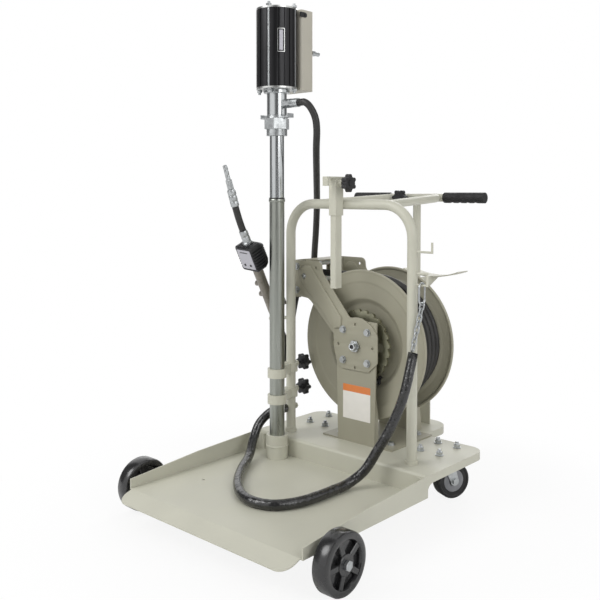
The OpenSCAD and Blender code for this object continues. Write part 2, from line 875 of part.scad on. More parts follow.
// Closed rubber grips with finger hollows below
module hand_grips() {
    color(black) for (s = [-1, 1]) difference() {
        rod([s * grip_x, loop_y, loop_z], [s * (grip_x + grip_l + grip_end_t), loop_y, loop_z],
            grip_r);
        rod([s * (grip_x - over), loop_y, loop_z], [s * (grip_x + grip_l + weld), loop_y, loop_z],
            loop_r + weld);
        for (i = [1 : fingers])
            rod_y([s * (grip_x + i * grip_l / (fingers + 1)), loop_y - 2 * grip_r,
                loop_z - grip_r - finger_r + finger_in], 4 * grip_r, finger_r);
    }
}

// Rear post with its foot plate
module rear_post() {
    color(paint) difference() {
        union() {
            translate([0, loop_y, deck_z]) cylinder(h = loop_z - deck_z, r = post_r);
            plate_xz(loop_y - foot_plate_t / 2, foot_plate_t) difference() {
                translate([-foot_plate_w / 2, deck_z]) square([foot_plate_w, foot_plate_h]);
                for (s = [-1, 1]) translate([s * foot_plate_w / 2, deck_z + foot_plate_h])
                    circle(foot_notch);
            }
        }
        translate([0, loop_y, deck_z - over])
            cylinder(h = loop_z - deck_z + 2 * over, r = post_r - tube_t);
        rod_x([-tray_w / 2, loop_y, loop_z], tray_w, loop_r + weld);
    }
}

module hose_saddle() {
    half_turn = asin(saddle_half / saddle_r);
    color(paint) difference() {
        union() {
            translate([0, saddle_y + saddle_w, saddle_z + saddle_r]) rotate([90, 0, 0])
                rotate([0, 0, 270 - half_turn]) rotate_extrude(angle = 2 * half_turn, $fn = 144)
                    translate([saddle_r, 0]) square([saddle_t, saddle_w]);
            plate_yz(-gusset_t / 2, gusset_t) polygon([[loop_y, saddle_z - saddle_low],
                [saddle_y + saddle_w - gusset_t, saddle_z - saddle_t],
                [saddle_y + saddle_w - gusset_t, saddle_z],
                [loop_y, saddle_z]]);
        }
        translate([0, loop_y, deck_z]) cylinder(h = loop_z - deck_z, r = post_r + weld);
        translate([0, saddle_y + saddle_w + over, saddle_z + saddle_r]) rotate([90, 0, 0])
            cylinder(h = saddle_w + saddle_half, r = saddle_r, $fn = 144);
    }
}

module handle_knob() {
    translate([handle_knob_x, loop_y - loop_r - slip - knob_neck_h, loop_z])
        rotate([90, 0, 0]) star_knob(knob_neck_h + tube_t + over + loop_r / 2);
}

module sleeve_box(w, d, z, h) {
    translate([sleeve_x - w / 2, clamp_y - d / 2, z]) cube([w, d, h]);
}

module clamp_sleeve() {
    wall = sleeve_x + sleeve_w / 2;
    color(paint) difference() {
        union() {
            sleeve_box(sleeve_w, sleeve_d, sleeve_z, sleeve_h);
            rod_x([wall - over, clamp_y, clamp_knob_z], boss_h + over, boss_r);
        }
        sleeve_box(sleeve_w - 2 * sleeve_t, sleeve_d - 2 * sleeve_t, sleeve_z - over,
            sleeve_h + 2 * over);
        rod_x([wall - 2 * sleeve_t, clamp_y, clamp_knob_z], boss_h + 3 * sleeve_t, stud_r + run);
        rod_x([-tray_w / 2, hoop_y, hoop_z], tray_w, hoop_r + weld);
    }
}

// Sliding bar with the flat hook that holds the drum's rim
module clamp_bar() {
    w = sleeve_w - 2 * sleeve_t - 2 * clamp_gap;
    d = sleeve_d - 2 * sleeve_t - 2 * clamp_gap;
    front = clamp_y - sleeve_d / 2 - hook_out;
    rear = clamp_y + sleeve_d / 2 + strip_rear;
    color(paint) {
        sleeve_box(w, d, bar_bottom_z, strip_z - bar_bottom_z);
        translate([sleeve_x - strip_w / 2, front, strip_z]) cube([strip_w, rear - front, strip_t]);
        translate([sleeve_x - strip_w / 2, front - strip_t, strip_z - hook_drop])
            cube([strip_w, strip_t, hook_drop + strip_t]);
        translate([sleeve_x - strip_w / 2, front - over, strip_z])
            cube([strip_w, 2 * over, strip_t]);
    }
}

module clamp_knob() {
    wall = sleeve_x + sleeve_w / 2;
    translate([wall + boss_h + slip + knob_neck_h, clamp_y, clamp_knob_z]) rotate([0, 90, 0])
        star_knob(boss_h + sleeve_t + knob_neck_h);
}

module at_pump(z) {
    translate([px, pump_y, z]) children();
}

module pump_cup() {
    color(paint) at_pump(foot_z) difference() {
        union() {
            cylinder(h = cup_h, r = cup_r);
            translate([0, 0, cup_h / 2]) cylinder(h = seam_h, r = seam_r);
        }
        translate([0, 0, cup_seat]) cylinder(h = cup_h, r = lower_r + slip);
    }
}

// Galvanised lower tube with its foot valve plug and an O-ring groove at the joint
module lower_tube() {
    z0 = foot_z + cup_seat;
    color(steel) at_pump(0) {
        translate([0, 0, z0]) pipe(lower_r, bore_r, joint_z - z0 - ring_h);
        translate([0, 0, joint_z - ring_h - over]) pipe(lower_r - ring_in, bore_r, ring_h + over);
        translate([0, 0, z0]) cylinder(h = plug_h, r = bore_r + over);
    }
}

module suction_tube() {
    color("#c9ccd0") at_pump(joint_z) pipe(upper_r, bore_r, bung_z - joint_z);
}

// Threaded collar, hexagon and two upturned wings
module bung_adaptor() {
    color(steel) at_pump(bung_z) difference() {
        union() {
            cylinder(h = bung_h, r = bung_r);
            translate([0, 0, bung_h]) cylinder(h = hex_h, r = hex_r, $fn = nut_sides);
            translate([0, 0, bung_h + hex_h]) {
                linear_extrude(wing_t) square([2 * wing_l, wing_w], center = true);
                cylinder(h = wing_h, r = neck_r);
                for (s = [-1, 1]) translate([s * (wing_l - wing_t / 2), 0, wing_up / 2])
                    cube([wing_t, wing_w, wing_up], center = true);
            }
        }
        translate([0, 0, -over]) cylinder(h = neck_z - bung_z + 2 * over, r = bore_r);
    }
}

module pump_neck() {
    color("#c9ccd0") at_pump(neck_z) difference() {
        union() {
            cylinder(h = motor_z - neck_z, r = neck_r);
            translate([0, 0, motor_z - neck_z - neck_flange_h])
                cylinder(h = neck_flange_h, r = neck_flange_r);
        }
        translate([0, 0, -over]) cylinder(h = motor_z - neck_z - neck_flange_h, r = bore_r);
        translate([0, 0, -over])
            cylinder(h = motor_z - neck_z + 2 * over, r = piston_rod_r + 2 * run);
    }
}

module rod_places() {
    for (i = [0 : 3]) rotate([0, 0, rod_turn + i * 90]) translate([rod_at, 0, 0]) children();
}

// Extruded cylinder with a flute for each tie rod and shallow grooves between
module motor_cylinder() {
    color(black) at_pump(motor_z + cap_h) linear_extrude(motor_h - 2 * cap_h) difference() {
        circle(motor_r, $fn = 72);
        circle(cyl_r, $fn = 72);
        for (i = [0 : 3]) rotate([0, 0, rod_turn + i * 90]) translate([rod_at, 0]) {
            circle(rod_r + slip);
            translate([0, -rod_r - slip]) square([2 * rod_r, 2 * (rod_r + slip)]);
        }
        for (i = [0 : 3], a = [28, 45, 62]) rotate([0, 0, rod_turn + i * 90 + a])
            translate([motor_r - flute_in, -flute_w / 2]) square([2 * flute_in, flute_w]);
    }
}

module motor_caps() {
    color("#c8c9c8") at_pump(motor_z) {
        difference() {
            cylinder(h = cap_h, r = cap_r, $fn = 72);
            translate([0, 0, -over]) cylinder(h = cap_h + 2 * over, r = piston_rod_r + 2 * run);
            rod_places() translate([0, 0, -over]) cylinder(h = cap_h + 2 * over, r = rod_r + weld);
        }
        translate([0, 0, motor_h - cap_h]) difference() {
            cylinder(h = cap_h, r = cap_r, $fn = 72);
            rod_places() translate([0, 0, -over]) cylinder(h = cap_h + 2 * over, r = rod_r + weld);
        }
    }
}

module motor_tie_rods() {
    color(steel) at_pump(motor_z) rod_places() {
        translate([0, 0, -rod_over]) cylinder(h = motor_h + 2 * rod_over, r = rod_r);
        translate([0, 0, motor_h]) cylinder(h = head_h, r = 2 * rod_r, $fn = nut_sides);
        translate([0, 0, -head_h]) cylinder(h = head_h, r = 2 * rod_r, $fn = nut_sides);
    }
}

// Air piston, piston rod and pump plunger
module pump_piston() {
    color(steel) at_pump(0) {
        translate([0, 0, piston_z]) cylinder(h = piston_h, r = cyl_r - run, $fn = 72);
        translate([0, 0, plunger_z]) cylinder(h = piston_z - plunger_z + over, r = piston_rod_r);
        translate([0, 0, plunger_z]) cylinder(h = plunger_h, r = bore_r - run);
    }
}

// Sheet cover of the air valve, seated on the cylinder's back
module valve_cover() {
    color("#b7b6a8") difference() {
        translate([px, pump_y + (valve_front + valve_back) / 2, motor_z - slip])
            linear_extrude(valve_h) round_rect(valve_w, valve_back - valve_front, valve_r);
        at_pump(motor_z - 2 * over)
            cylinder(h = valve_h + 4 * over, r = motor_r + weld, $fn = 72);
        rod_places_cut();
    }
}

module rod_places_cut() {
    at_pump(motor_z - 2 * rod_over) rod_places()
        cylinder(h = motor_h + 4 * rod_over, r = 2 * rod_r + slip);
}

module air_inlet() {
    color(steel) {
        rod_y([px + inlet_x, pump_y + valve_back, inlet_z], inlet_l, inlet_r, nut_sides);
        rod_y([px + inlet_x, pump_y + valve_back + inlet_l, inlet_z], plug_l, plug_r);
    }
}

// Swivel fitting out of the neck's side, to the hose
module outlet_elbow() {
    x0 = px;
    color(steel) {
        difference() {
            rod_x([x0, pump_y, outlet_z], neck_r + outlet_l, outlet_r, nut_sides);
            at_pump(neck_z - over) cylinder(h = motor_z - neck_z, r = neck_r + weld);
        }
        rod_x([x0 + neck_r + outlet_l, pump_y, outlet_z], ferrule_l, ferrule_r);
    }
}

// Two clamps that tie the pump's tube to the left post
module pump_clamps() {
    a = [px, pump_y];
    b = [-hoop_x, hoop_y];
    mid_l = norm(b - a);
    turn = atan2(b[1] - a[1], b[0] - a[0]);
    color(paint_dark) for (z = clamp_z) difference() {
        union() {
            translate([a[0], a[1], z - clamp_h / 2]) cylinder(h = clamp_h, r = lower_r + clamp_t);
            translate([b[0], b[1], z - clamp_h / 2]) cylinder(h = clamp_h, r = hoop_r + clamp_t);
            translate([a[0], a[1], z - clamp_h / 2]) rotate([0, 0, turn])
                translate([0, -clamp_arm_w / 2, 0]) cube([mid_l, clamp_arm_w, clamp_h]);
            rod_y([b[0], b[1], z + knob_side_z], hoop_r + clamp_t + clamp_t, boss_r);
        }
        translate([a[0], a[1], z - clamp_h]) cylinder(h = 2 * clamp_h, r = lower_r + weld);
        translate([b[0], b[1], z - clamp_h]) cylinder(h = 2 * clamp_h, r = hoop_r + weld);
        rod_y([b[0], b[1], z + knob_side_z], 2 * clamp_stud, stud_r + run);
    }
}

module pump_knob(i) {
    reach = hoop_r + 2 * clamp_t + clamp_stud;
    translate([-hoop_x, hoop_y + reach, clamp_z[i] + knob_side_z]) rotate([-90, 0, 0])
        star_knob(reach - hoop_r - slip);
}

module at_gun(s) {
    translate(gun_at) rotate([gun_pitch, 0, 0]) translate([0, 0, s]) children();
}

// Places past the bent piece of the gun's outlet
module at_outlet(s) {
    at_gun(gun_l + meter_l + nozzle_l) translate([0, spout_bend, 0]) rotate([-spout_turn, 0, 0])
        translate([0, -spout_bend, s]) children();
}

// Holder: a ring round the gun's casting, on a flat arm welded to the left post
module gun_holder() {
    ring = gun_at + gun_dir * holder_s;
    post = [-hoop_x, hoop_y];
    turn = atan2(ring[1] - post[1], ring[0] - post[0]);
    reach = norm([ring[0] - post[0], ring[1] - post[1]]);
    color(paint) difference() {
        union() {
            at_gun(holder_s) cylinder(h = holder_h, r = holder_r);
            translate([post[0], post[1], ring[2]]) rotate([0, 0, turn])
                translate([0, -holder_arm_w / 2, 0])
                    cube([reach - gun_grip_r / 2, holder_arm_w, holder_h]);
        }
        at_gun(holder_s - holder_r) cylinder(h = 2 * holder_r + holder_h, r = gun_grip_r + slip);
        translate([post[0], post[1], ring[2] - over])
            cylinder(h = holder_h + 2 * over, r = hoop_r + weld);
    }
}

// Gun casting: swivel, valve body with two bosses, guard, and two lugs with the trigger's pin
module gun_body() {
    y0 = gun_grip_r + trigger_in + trigger_t / 2;
    y1 = trigger_gap + gun_grip_r;
    color("#a8a39b") at_gun(0) {
        cylinder(h = swivel_l, r = swivel_r, $fn = nut_sides);
        translate([0, 0, swivel_l - over]) cylinder(h = gun_l - swivel_l + over, r = gun_grip_r);
        for (s = gun_boss_s) rod([0, 0, s], [-gun_grip_r - gun_boss_h, 0, s], gun_boss_r);
        for (s = [guard_s + guard_r, trigger_pin_s + 2 * guard_r])
            rod([0, 0, s], [0, y1, s], guard_r);
        rod([0, y1, guard_s], [0, y1, trigger_pin_s + 3 * guard_r], guard_r);
        for (x = [-trigger_t / 2 - slip - lug_t, trigger_t / 2 + slip])
            translate([x, y0 + trigger_t / 2 - trigger_in - trigger_t - guard_r,
                trigger_pin_s - trigger_t])
                cube([lug_t, trigger_in + trigger_t + guard_r, trigger_t + guard_r]);
        rod_x([-trigger_t / 2 - lug_t, y0, trigger_pin_s - guard_r], trigger_t + 2 * lug_t,
            trigger_pin_r);
    }
}

// Trigger lever inside the guard
module gun_trigger() {
    y0 = gun_grip_r + trigger_in + trigger_t / 2;
    color("#8e8a84") at_gun(trigger_pin_s - guard_r) difference() {
        union() {
            translate([-trigger_t / 2, y0 - trigger_t / 2, guard_r - trigger_l])
                cube([trigger_t, trigger_t, trigger_l - guard_r]);
            rod_x([-trigger_t / 2, y0, 0], trigger_t, trigger_t / 2);
        }
        rod_x([-trigger_t, y0, 0], 2 * trigger_t, trigger_pin_r + run);
    }
}

// Ribbed meter housing with its face in front and a domed back
module meter_body() {
    pitch = meter_l / (meter_ribs + 1);
    color(black) at_gun(gun_l) rotate([0, 0, -meter_turn])
        translate([0, meter_d / 2 - meter_front, 0]) difference() {
            union() {
                linear_extrude(meter_l) round_rect(meter_w, meter_d, meter_bend_r);
                translate([0, meter_d / 2 - over, meter_l / 2]) rotate([-90, 0, 0])
                    cylinder(h = meter_bend_r + over, r = meter_w / 3);
                translate([-face_w / 2, -meter_d / 2 - face_t, (meter_l - face_h) / 2])
                    cube([face_w, face_t + over, face_h]);
            }
            for (i = [0 : meter_ribs - 1]) translate([0, 0, pitch * (i + 1) - rib_in / 2])
                linear_extrude(rib_in) difference() {
                    square([meter_w + 2 * over, meter_d - 2 * meter_bend_r], center = true);
                    square([meter_w - 2 * rib_in, meter_d], center = true);
                }
        }
}

// Outlet ferrules, bent flexible piece and tip
module gun_nozzle() {
    color(steel) {
        at_gun(gun_l + meter_l) cylinder(h = nozzle_l, r = nozzle_r);
        at_outlet(0) cylinder(h = end_l, r = end_r);
        at_outlet(end_l) cylinder(h = tip_knurl_l, r = tip_knurl_r);
        at_outlet(end_l) difference() {
            cylinder(h = tip_l, r = tip_r);
            translate([0, 0, tip_l / 2]) cylinder(h = tip_l, r = tip_r / 2);
        }
    }
    color(black) at_gun(gun_l + meter_l + nozzle_l) translate([0, spout_bend, 0])
        rotate([90, 0, -90]) rotate_extrude(angle = spout_turn, $fn = 360)
            translate([spout_bend, 0]) circle(spout_r, $fn = 24);
}

// Outline of a pedestal's plate
module pedestal_outline(top) {
    polygon([[-pedestal_base, deck_z], [pedestal_base, deck_z], [pedestal_top, top],
        [-pedestal_top, top]]);
}

// Base plate and the two pedestals, each a channel that opens towards the spool
module reel_stand() {
    top = reel_z - hub_w - slip;
    foot = deck_z + base_plate_t;
    color(paint_dark) difference() {
        union() {
            translate([-base_plate_w / 2, base_y0, deck_z])
                cube([base_plate_w, base_y1 - base_y0, base_plate_t]);
            plate_xz(pedestal_y0, plate_t) pedestal_outline(reel_z + hub_w - plate_t);
            plate_xz(pedestal_y1, plate_t) pedestal_outline(reel_z + hub_w - plate_t);
            for (x = [-pedestal_base, pedestal_base - plate_t]) plate_yz(x, plate_t)
                polygon([[pedestal_y0, foot - over], [pedestal_y0 + pedestal_fold, foot - over],
                    [pedestal_y0 + pedestal_fold, foot + pedestal_fold_h / 2],
                    [pedestal_y0 + plate_t, foot + pedestal_fold_h], [pedestal_y0, foot + pedestal_fold_h]]);
        }
        base_holes(bolt_hole, deck_z - over, base_plate_t + 2 * over);
        rod_y([0, pedestal_y0 - over, reel_z], pedestal_y1 - pedestal_y0 + plate_t + 2 * over,
            shaft_r + weld);
        hub_bolts() rod_y([0, pedestal_y0 - over, 0],
            pedestal_y1 - pedestal_y0 + plate_t + 2 * over, bolt_hole);
    }
    color(paint_dark) for (s = [-1, 1], y = [pedestal_y1 + plate_t])
        plate_yz(s > 0 ? pedestal_base - plate_t : -pedestal_base, plate_t)
            polygon([[y - over, foot - over], [y + pedestal_flange, foot - over],
                [y + pedestal_flange, foot], [y + over, top], [y - over, top]]);
}

module hub_bolts() {
    for (a = [45, 135, 225, 315])
        translate([hub_bolt_r * cos(a), 0, reel_z + hub_bolt_r * sin(a)]) children();
}

module head_bolts() {
    for (p = [[head_x0 - 14, head_z1 - 19], [head_x0 - 14, head_z0 + 23]])
        translate([-p[0], 0, p[1]]) children();
}

// Outline of a guide arm: an eight-sided hub, a strip at 45 degrees and the guide's head
module arm_outline() {
    w = hub_w;
    c = hub_cut;
    translate([0, reel_z]) polygon([[w - c, -w], [w, c - w], [w, w - c], [w - c, w], [c - w, w],
        [-w, w - c], [-w, c - w], [c - w, -w]]);
    hx = -(head_x0 + head_x1) / 2;
    hz = (head_z0 + head_z1) / 2;
    translate([0, reel_z]) rotate([0, 0, 45]) translate([-arm_w, 0])
        square([2 * arm_w, norm([hx, hz - reel_z])]);
    translate([hx, hz]) round_rect(head_x0 - head_x1, head_z1 - head_z0, head_round);
}

module guide_arm(y0, side) {
    color(paint_dark) difference() {
        union() {
            plate_xz(y0, plate_t) arm_outline();
            plate_xz(side < 0 ? y0 - arm_rib_h : y0 + plate_t - over, arm_rib_h + over)
                translate([0, reel_z]) rotate([0, 0, 45]) translate([-arm_rib, hub_w + hub_cut / 2])
                    square([2 * arm_rib, head_z0 - reel_z]);
        }
        rod_y([0, y0 - arm_rib_h - over, reel_z], plate_t + 2 * arm_rib_h + 2 * over,
            shaft_r + weld);
        hub_bolts() rod_y([0, y0 - over, 0], plate_t + 2 * over, bolt_hole);
        head_bolts() rod_y([0, y0 - arm_rib_h - over, 0], plate_t + 2 * arm_rib_h + 2 * over,
            bolt_hole);
        for (a = [0, 90, 180, 270]) rod_y([hub_bolt_r * cos(a), y0 - over,
            reel_z + hub_bolt_r * sin(a)], plate_t + 2 * over, stud_r);
    }
}

// Cross plate between the arms, with the roller cage round the hose's window
module guide_bridge() {
    y0 = plate_y0 + plate_t;
    y1 = plate_y1;
    color(paint_dark) difference() {
        union() {
            translate([-bridge_x, y0, head_z0]) cube([bridge_t, y1 - y0, head_z1 - head_z0]);
            for (y = [y0, y1 - bridge_t]) translate([-bridge_x, y, head_z0])
                cube([bridge_flange, bridge_t, head_z1 - head_z0]);
            translate([-bridge_x, reel_y - cage_y - cage_t, cage_z0])
                cube([bridge_x - cage_x, 2 * (cage_y + cage_t), cage_z1 - cage_z0 + cage_t]);
        }
        translate([bridge_t - bridge_x, reel_y - cage_y, cage_z0 + cage_t])
            cube([bridge_x, 2 * cage_y, cage_z1 - cage_z0 - cage_t]);
        translate([-bridge_x - over, reel_y - window_y, window_z0])
            cube([bridge_t + 2 * over, 2 * window_y, window_z1 - window_z0]);
        head_bolts() rod_y([0, y0 - over, 0], y1 - y0 + 2 * over, bolt_hole);
        for (z = [roller_top_z, roller_low_z])
            rod_y([-roller_x, reel_y - 2 * cage_y, z], 4 * cage_y, pin_r + weld);
        for (y = [-1, 1]) translate([-roller_side_x, reel_y + y * roller_side_y, cage_z0 - over])
            cylinder(h = cage_z1 - cage_z0 + 2 * cage_t, r = pin_r + weld);
    }
}

module level_roller(z) {
    l = 2 * (cage_y - slip);
    color("#efefec") translate([-roller_x, reel_y - cage_y + slip, z]) rotate([-90, 0, 0])
        pipe(roller_r, pin_r + run, l);
}

module upright_roller(side) {
    h = cage_z1 - cage_z0 - cage_t - 2 * slip;
    color("#efefec") translate([-roller_side_x, reel_y + side * roller_side_y,
        cage_z0 + cage_t + slip]) pipe(roller_r, pin_r + run, h);
}

// Fixed shaft with its end nuts
module reel_shaft() {
    y0 = plate_y0 - shaft_end;
    color(steel) {
        rod_y([0, y0, reel_z], plate_y1 + plate_t + shaft_end - y0, shaft_r);
        rod_y([0, plate_y0 - head_h - weld, reel_z], head_h, shaft_r + head_h, nut_sides);
        rod_y([0, plate_y1 + plate_t + weld, reel_z], head_h, shaft_r + head_h, nut_sides);
    }
}

// Inlet swivel behind the reel, with its elbow towards the pump's hose
module reel_swivel() {
    y0 = plate_y1 + plate_t + shaft_end;
    color(steel) {
        rod_y([0, y0, reel_z], swivel_y - y0, outlet_r);
        rod([0, swivel_y, reel_z], [-swivel_reach, swivel_y, reel_z], outlet_r);
        rod_y([0, swivel_y - outlet_r, reel_z], 2 * outlet_r, outlet_r + washer_t);
        rod([-swivel_reach, swivel_y, reel_z], [-swivel_x, swivel_y, reel_z], ferrule_r);
    }
}

// One dished flange as a turned sheet, from its rolled rim to the drum
module flange_profile() {
    g = flange_gap / 2;
    d = g - dish_in;
    t = flange_t;
    polygon([[drum_r, d - dish_step], [dish_r - dish_step, d - dish_step], [dish_r, d],
        [flange_r - rim_bead, g - t], [flange_r - rim_bead, g - rim_bead - t],
        [flange_r, g - rim_bead - t], [flange_r, g], [flange_r - rim_bead, g],
        [dish_r - t, d + t], [dish_r - dish_step - t, d - dish_step + t],
        [drum_r, d - dish_step + t]]);
}

// Spool: two dished flanges on a drum with its hub
module reel_spool() {
    d = flange_gap / 2 - dish_in - dish_step;
    color("#8f8f7d") translate([0, reel_y, reel_z]) rotate([-90, 0, 0]) difference() {
        union() {
            rotate_extrude($fn = 96) {
                flange_profile();
                mirror([0, 1]) flange_profile();
                translate([drum_r - flange_t, -d - flange_t])
                    square([flange_t, 2 * (d + flange_t)]);
                translate([hub_r - flange_t, -d - flange_t])
                    square([drum_r - hub_r + flange_t, flange_t]);
                translate([hub_r - flange_t, d]) square([drum_r - hub_r + flange_t, flange_t]);
            }
            translate([0, 0, -gear_seat]) cylinder(h = 2 * gear_seat, r = hub_r);
        }
        translate([0, 0, -flange_gap]) cylinder(h = 2 * flange_gap, r = shaft_r + run);
    }
}

// Ratchet gear on the spool's front end
module ratchet_gear() {
    step = 360 / teeth;
    root = gear_r - tooth_h;
    color(steel) translate([0, gear_y + gear_t, reel_z]) rotate([90, 0, 0]) difference() {
        linear_extrude(gear_t) polygon([for (i = [0 : teeth - 1], k = [0, 1, 2])
            let (r = k == 0 ? root : gear_r, a = step * (i + (k == 0 ? 0 : k == 1 ? 0.15 : 0.45)))
            [r * cos(a), r * sin(a)]]);
        translate([0, 0, -over]) cylinder(h = gear_t + 2 * over, r = shaft_r + run);
        for (i = [0 : spokes - 1]) rotate([0, 0, i * 360 / spokes])
            translate([(root + gear_bore) / 2, 0, -over])
                cylinder(h = gear_t + 2 * over, r = tooth_h * 2);
    }
}

// Inner layers as a plain core, clear of the drum and of the dished flanges
module core_profile() {
    a = flange_gap / 2 - dish_in - dish_step - 2 * slip;
    b = coil_w / 2 + hose_r / 2;
    foot = dish_r - dish_step - slip;
    outer = core_r + hose_r / 2;
    polygon([[drum_r + slip, -a], [foot, -a], [foot + b - a, -b], [outer, -b], [outer, b],
        [foot + b - a, b], [foot, a], [drum_r + slip, a]]);
}

module wound_hose() {
    echo(least_gap_between_turns = wind_gap);
    color(black) translate([0, reel_y, reel_z]) rotate([-90, 0, 0]) {
        sweep(wind_path, hose_r, wind_sides);
        rotate_extrude($fn = 72) core_profile();
    }
}

// Spring pawl above the ratchet gear
module reel_pawl() {
    color(black) translate(pawl_at) rotate([-90, 0, 0]) linear_extrude(gear_t)
        rotate([0, 0, pawl_turn]) difference() {
            union() {
                circle(pawl_r);
                translate([0, -pawl_r / 2]) square([pawl_l, pawl_r]);
            }
            circle(pawl_pin_r + run);
        }
}

// Bolts of the arms, the cage's roller pins, the pawl's pin and the base bolts
module reel_fasteners() {
    color(steel) {
        hub_bolts() {
            rod_y([0, plate_y0 - weld, 0], pedestal_y0 + plate_t - plate_y0 + weld, bolt_r);
            translate([0, plate_y0 - weld, 0]) rotate([90, 0, 0]) bolt_head();
            rod_y([0, pedestal_y1, 0], plate_y1 + plate_t - pedestal_y1 + weld, bolt_r);
            translate([0, plate_y1 + plate_t + weld, 0]) rotate([-90, 0, 0]) bolt_head();
        }
        head_bolts() {
            rod_y([0, plate_y0 - weld, 0], 2 * plate_t + bridge_t, bolt_r);
            translate([0, plate_y0 - weld, 0]) rotate([90, 0, 0]) bolt_head();
            rod_y([0, plate_y1 - plate_t - bridge_t + weld, 0], 2 * plate_t + bridge_t, bolt_r);
            translate([0, plate_y1 + plate_t + weld, 0]) rotate([-90, 0, 0]) bolt_head();
        }
        for (z = [roller_top_z, roller_low_z])
            rod_y([-roller_x, reel_y - cage_y - cage_t, z], 2 * (cage_y + cage_t), pin_r);
        for (s = [-1, 1])
            translate([-roller_side_x, reel_y + s * roller_side_y, cage_z0])
                cylinder(h = cage_z1 - cage_z0 + cage_t, r = pin_r);
        rod_y([pawl_at[0], pedestal_y0 + plate_t, pawl_at[2]],
            gear_y + gear_t + slip - pedestal_y0 - plate_t, pawl_pin_r);
        base_holes(bolt_r, deck_z - sheet_t, sheet_t + base_plate_t + head_h + washer_t);
        for (x = [-1, 1], y = base_bolt_y)
            translate([x * base_bolt_x, y, deck_z + base_plate_t]) bolt_head();
    }
}

// Hose from the outer layer over the top of the coil and out through the rollers
module lead_hose() {
    color(black) sweep(lead_path, hose_r, cord_sides);
}

module pump_hose() {
    color(black) sweep(smooth(pump_hose_route, 2), hose_r, cord_sides);
}

module reel_hose() {
    color(black) sweep(smooth(reel_hose_route, 2), hose_r, cord_sides);
}

module chain_sleeve() {
    color(black) sweep(chain_sleeve_route, chain_r, sleeve_sides);
}

// Flat oval ring of round wire: outer length, width between wire centres, wire radius
module oval(l, w, r) {
    half = l / 2 - w / 2 - r;
    for (s = [-1, 1]) {
        translate([0, 0, s * half]) rotate([90, 0, 0]) rotate([0, 0, s > 0 ? 0 : 180])
            rotate_extrude(angle = 180, $fn = 24) translate([w / 2, 0]) circle(r, $fn = 16);
        translate([s * w / 2, 0, -half]) cylinder(h = 2 * half, r = r, $fn = 16);
    }
}

// Chain from the snap hook down into its sleeve
module drum_chain() {
    d = chain_end - chain_top;
    turn = atan2(d[1], d[0]);
    color(steel) for (i = [0 : links - 1]) translate(chain_top + d * i / (links - 1))
        rotate([0, acos(d[2] / norm(d)), turn]) rotate([0, 0, turn + i * 90])
            oval(link_l, link_w, link_r);
}

module at_ring() {
    translate([ring_x, hoop_y, ring_z]) rotate([0, 0, 90]) children();
}

// Snap hook that hangs from the eye on the right post
module carabiner() {
    color(steel) at_ring() difference() {
        oval(ring_l, ring_w, ring_r);
        translate([ring_w / 2 - 2 * ring_r, -2 * ring_r, gate_z0 - gate_r - slip])
            cube([4 * ring_r, 4 * ring_r, gate_z1 - gate_z0 + gate_r + 2 * slip]);
    }
}

module carabiner_gate() {
    color(steel) at_ring() translate([ring_w / 2, 0, gate_z0]) {
        sphere(gate_r);
        cylinder(h = gate_z1 - gate_z0, r = gate_r);
    }
}

tray();
axle_mounts();
front_wheel(-1);  // front_wheel_left
front_wheel(1);  // front_wheel_right
caster_plates();
caster_fork(-1);  // caster_fork_left
caster_fork(1);  // caster_fork_right
caster_wheel(-1);  // caster_wheel_left
caster_wheel(1);  // caster_wheel_right
hoop_frame();
handle_loop();
hand_grips();
rear_post();
hose_saddle();
handle_knob();
clamp_sleeve();
clamp_bar();
clamp_knob();
pump_cup();
lower_tube();
suction_tube();
bung_adaptor();
pump_neck();
motor_cylinder();
motor_caps();
motor_tie_rods();
pump_piston();
valve_cover();
air_inlet();
outlet_elbow();
pump_clamps();
pump_knob(1);  // pump_knob_upper
pump_knob(0);  // pump_knob_lower
gun_holder();
gun_body();
gun_trigger();
meter_body();
gun_nozzle();
reel_stand();
guide_arm(plate_y0, -1);  // guide_arm_front
guide_arm(plate_y1, 1);  // guide_arm_rear
guide_bridge();
level_roller(roller_top_z);  // roller_top
level_roller(roller_low_z);  // roller_bottom
upright_roller(-1);  // roller_front
upright_roller(1);  // roller_rear
reel_shaft();
reel_swivel();
reel_spool();
ratchet_gear();
wound_hose();
reel_pawl();
reel_fasteners();
lead_hose();
pump_hose();
reel_hose();
chain_sleeve();
drum_chain();
carabiner();
carabiner_gate();
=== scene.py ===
import json
import math
from itertools import product

import bmesh
import bpy
from bpy.props import FloatProperty, FloatVectorProperty, IntProperty, PointerProperty
from mathutils import Matrix, Vector

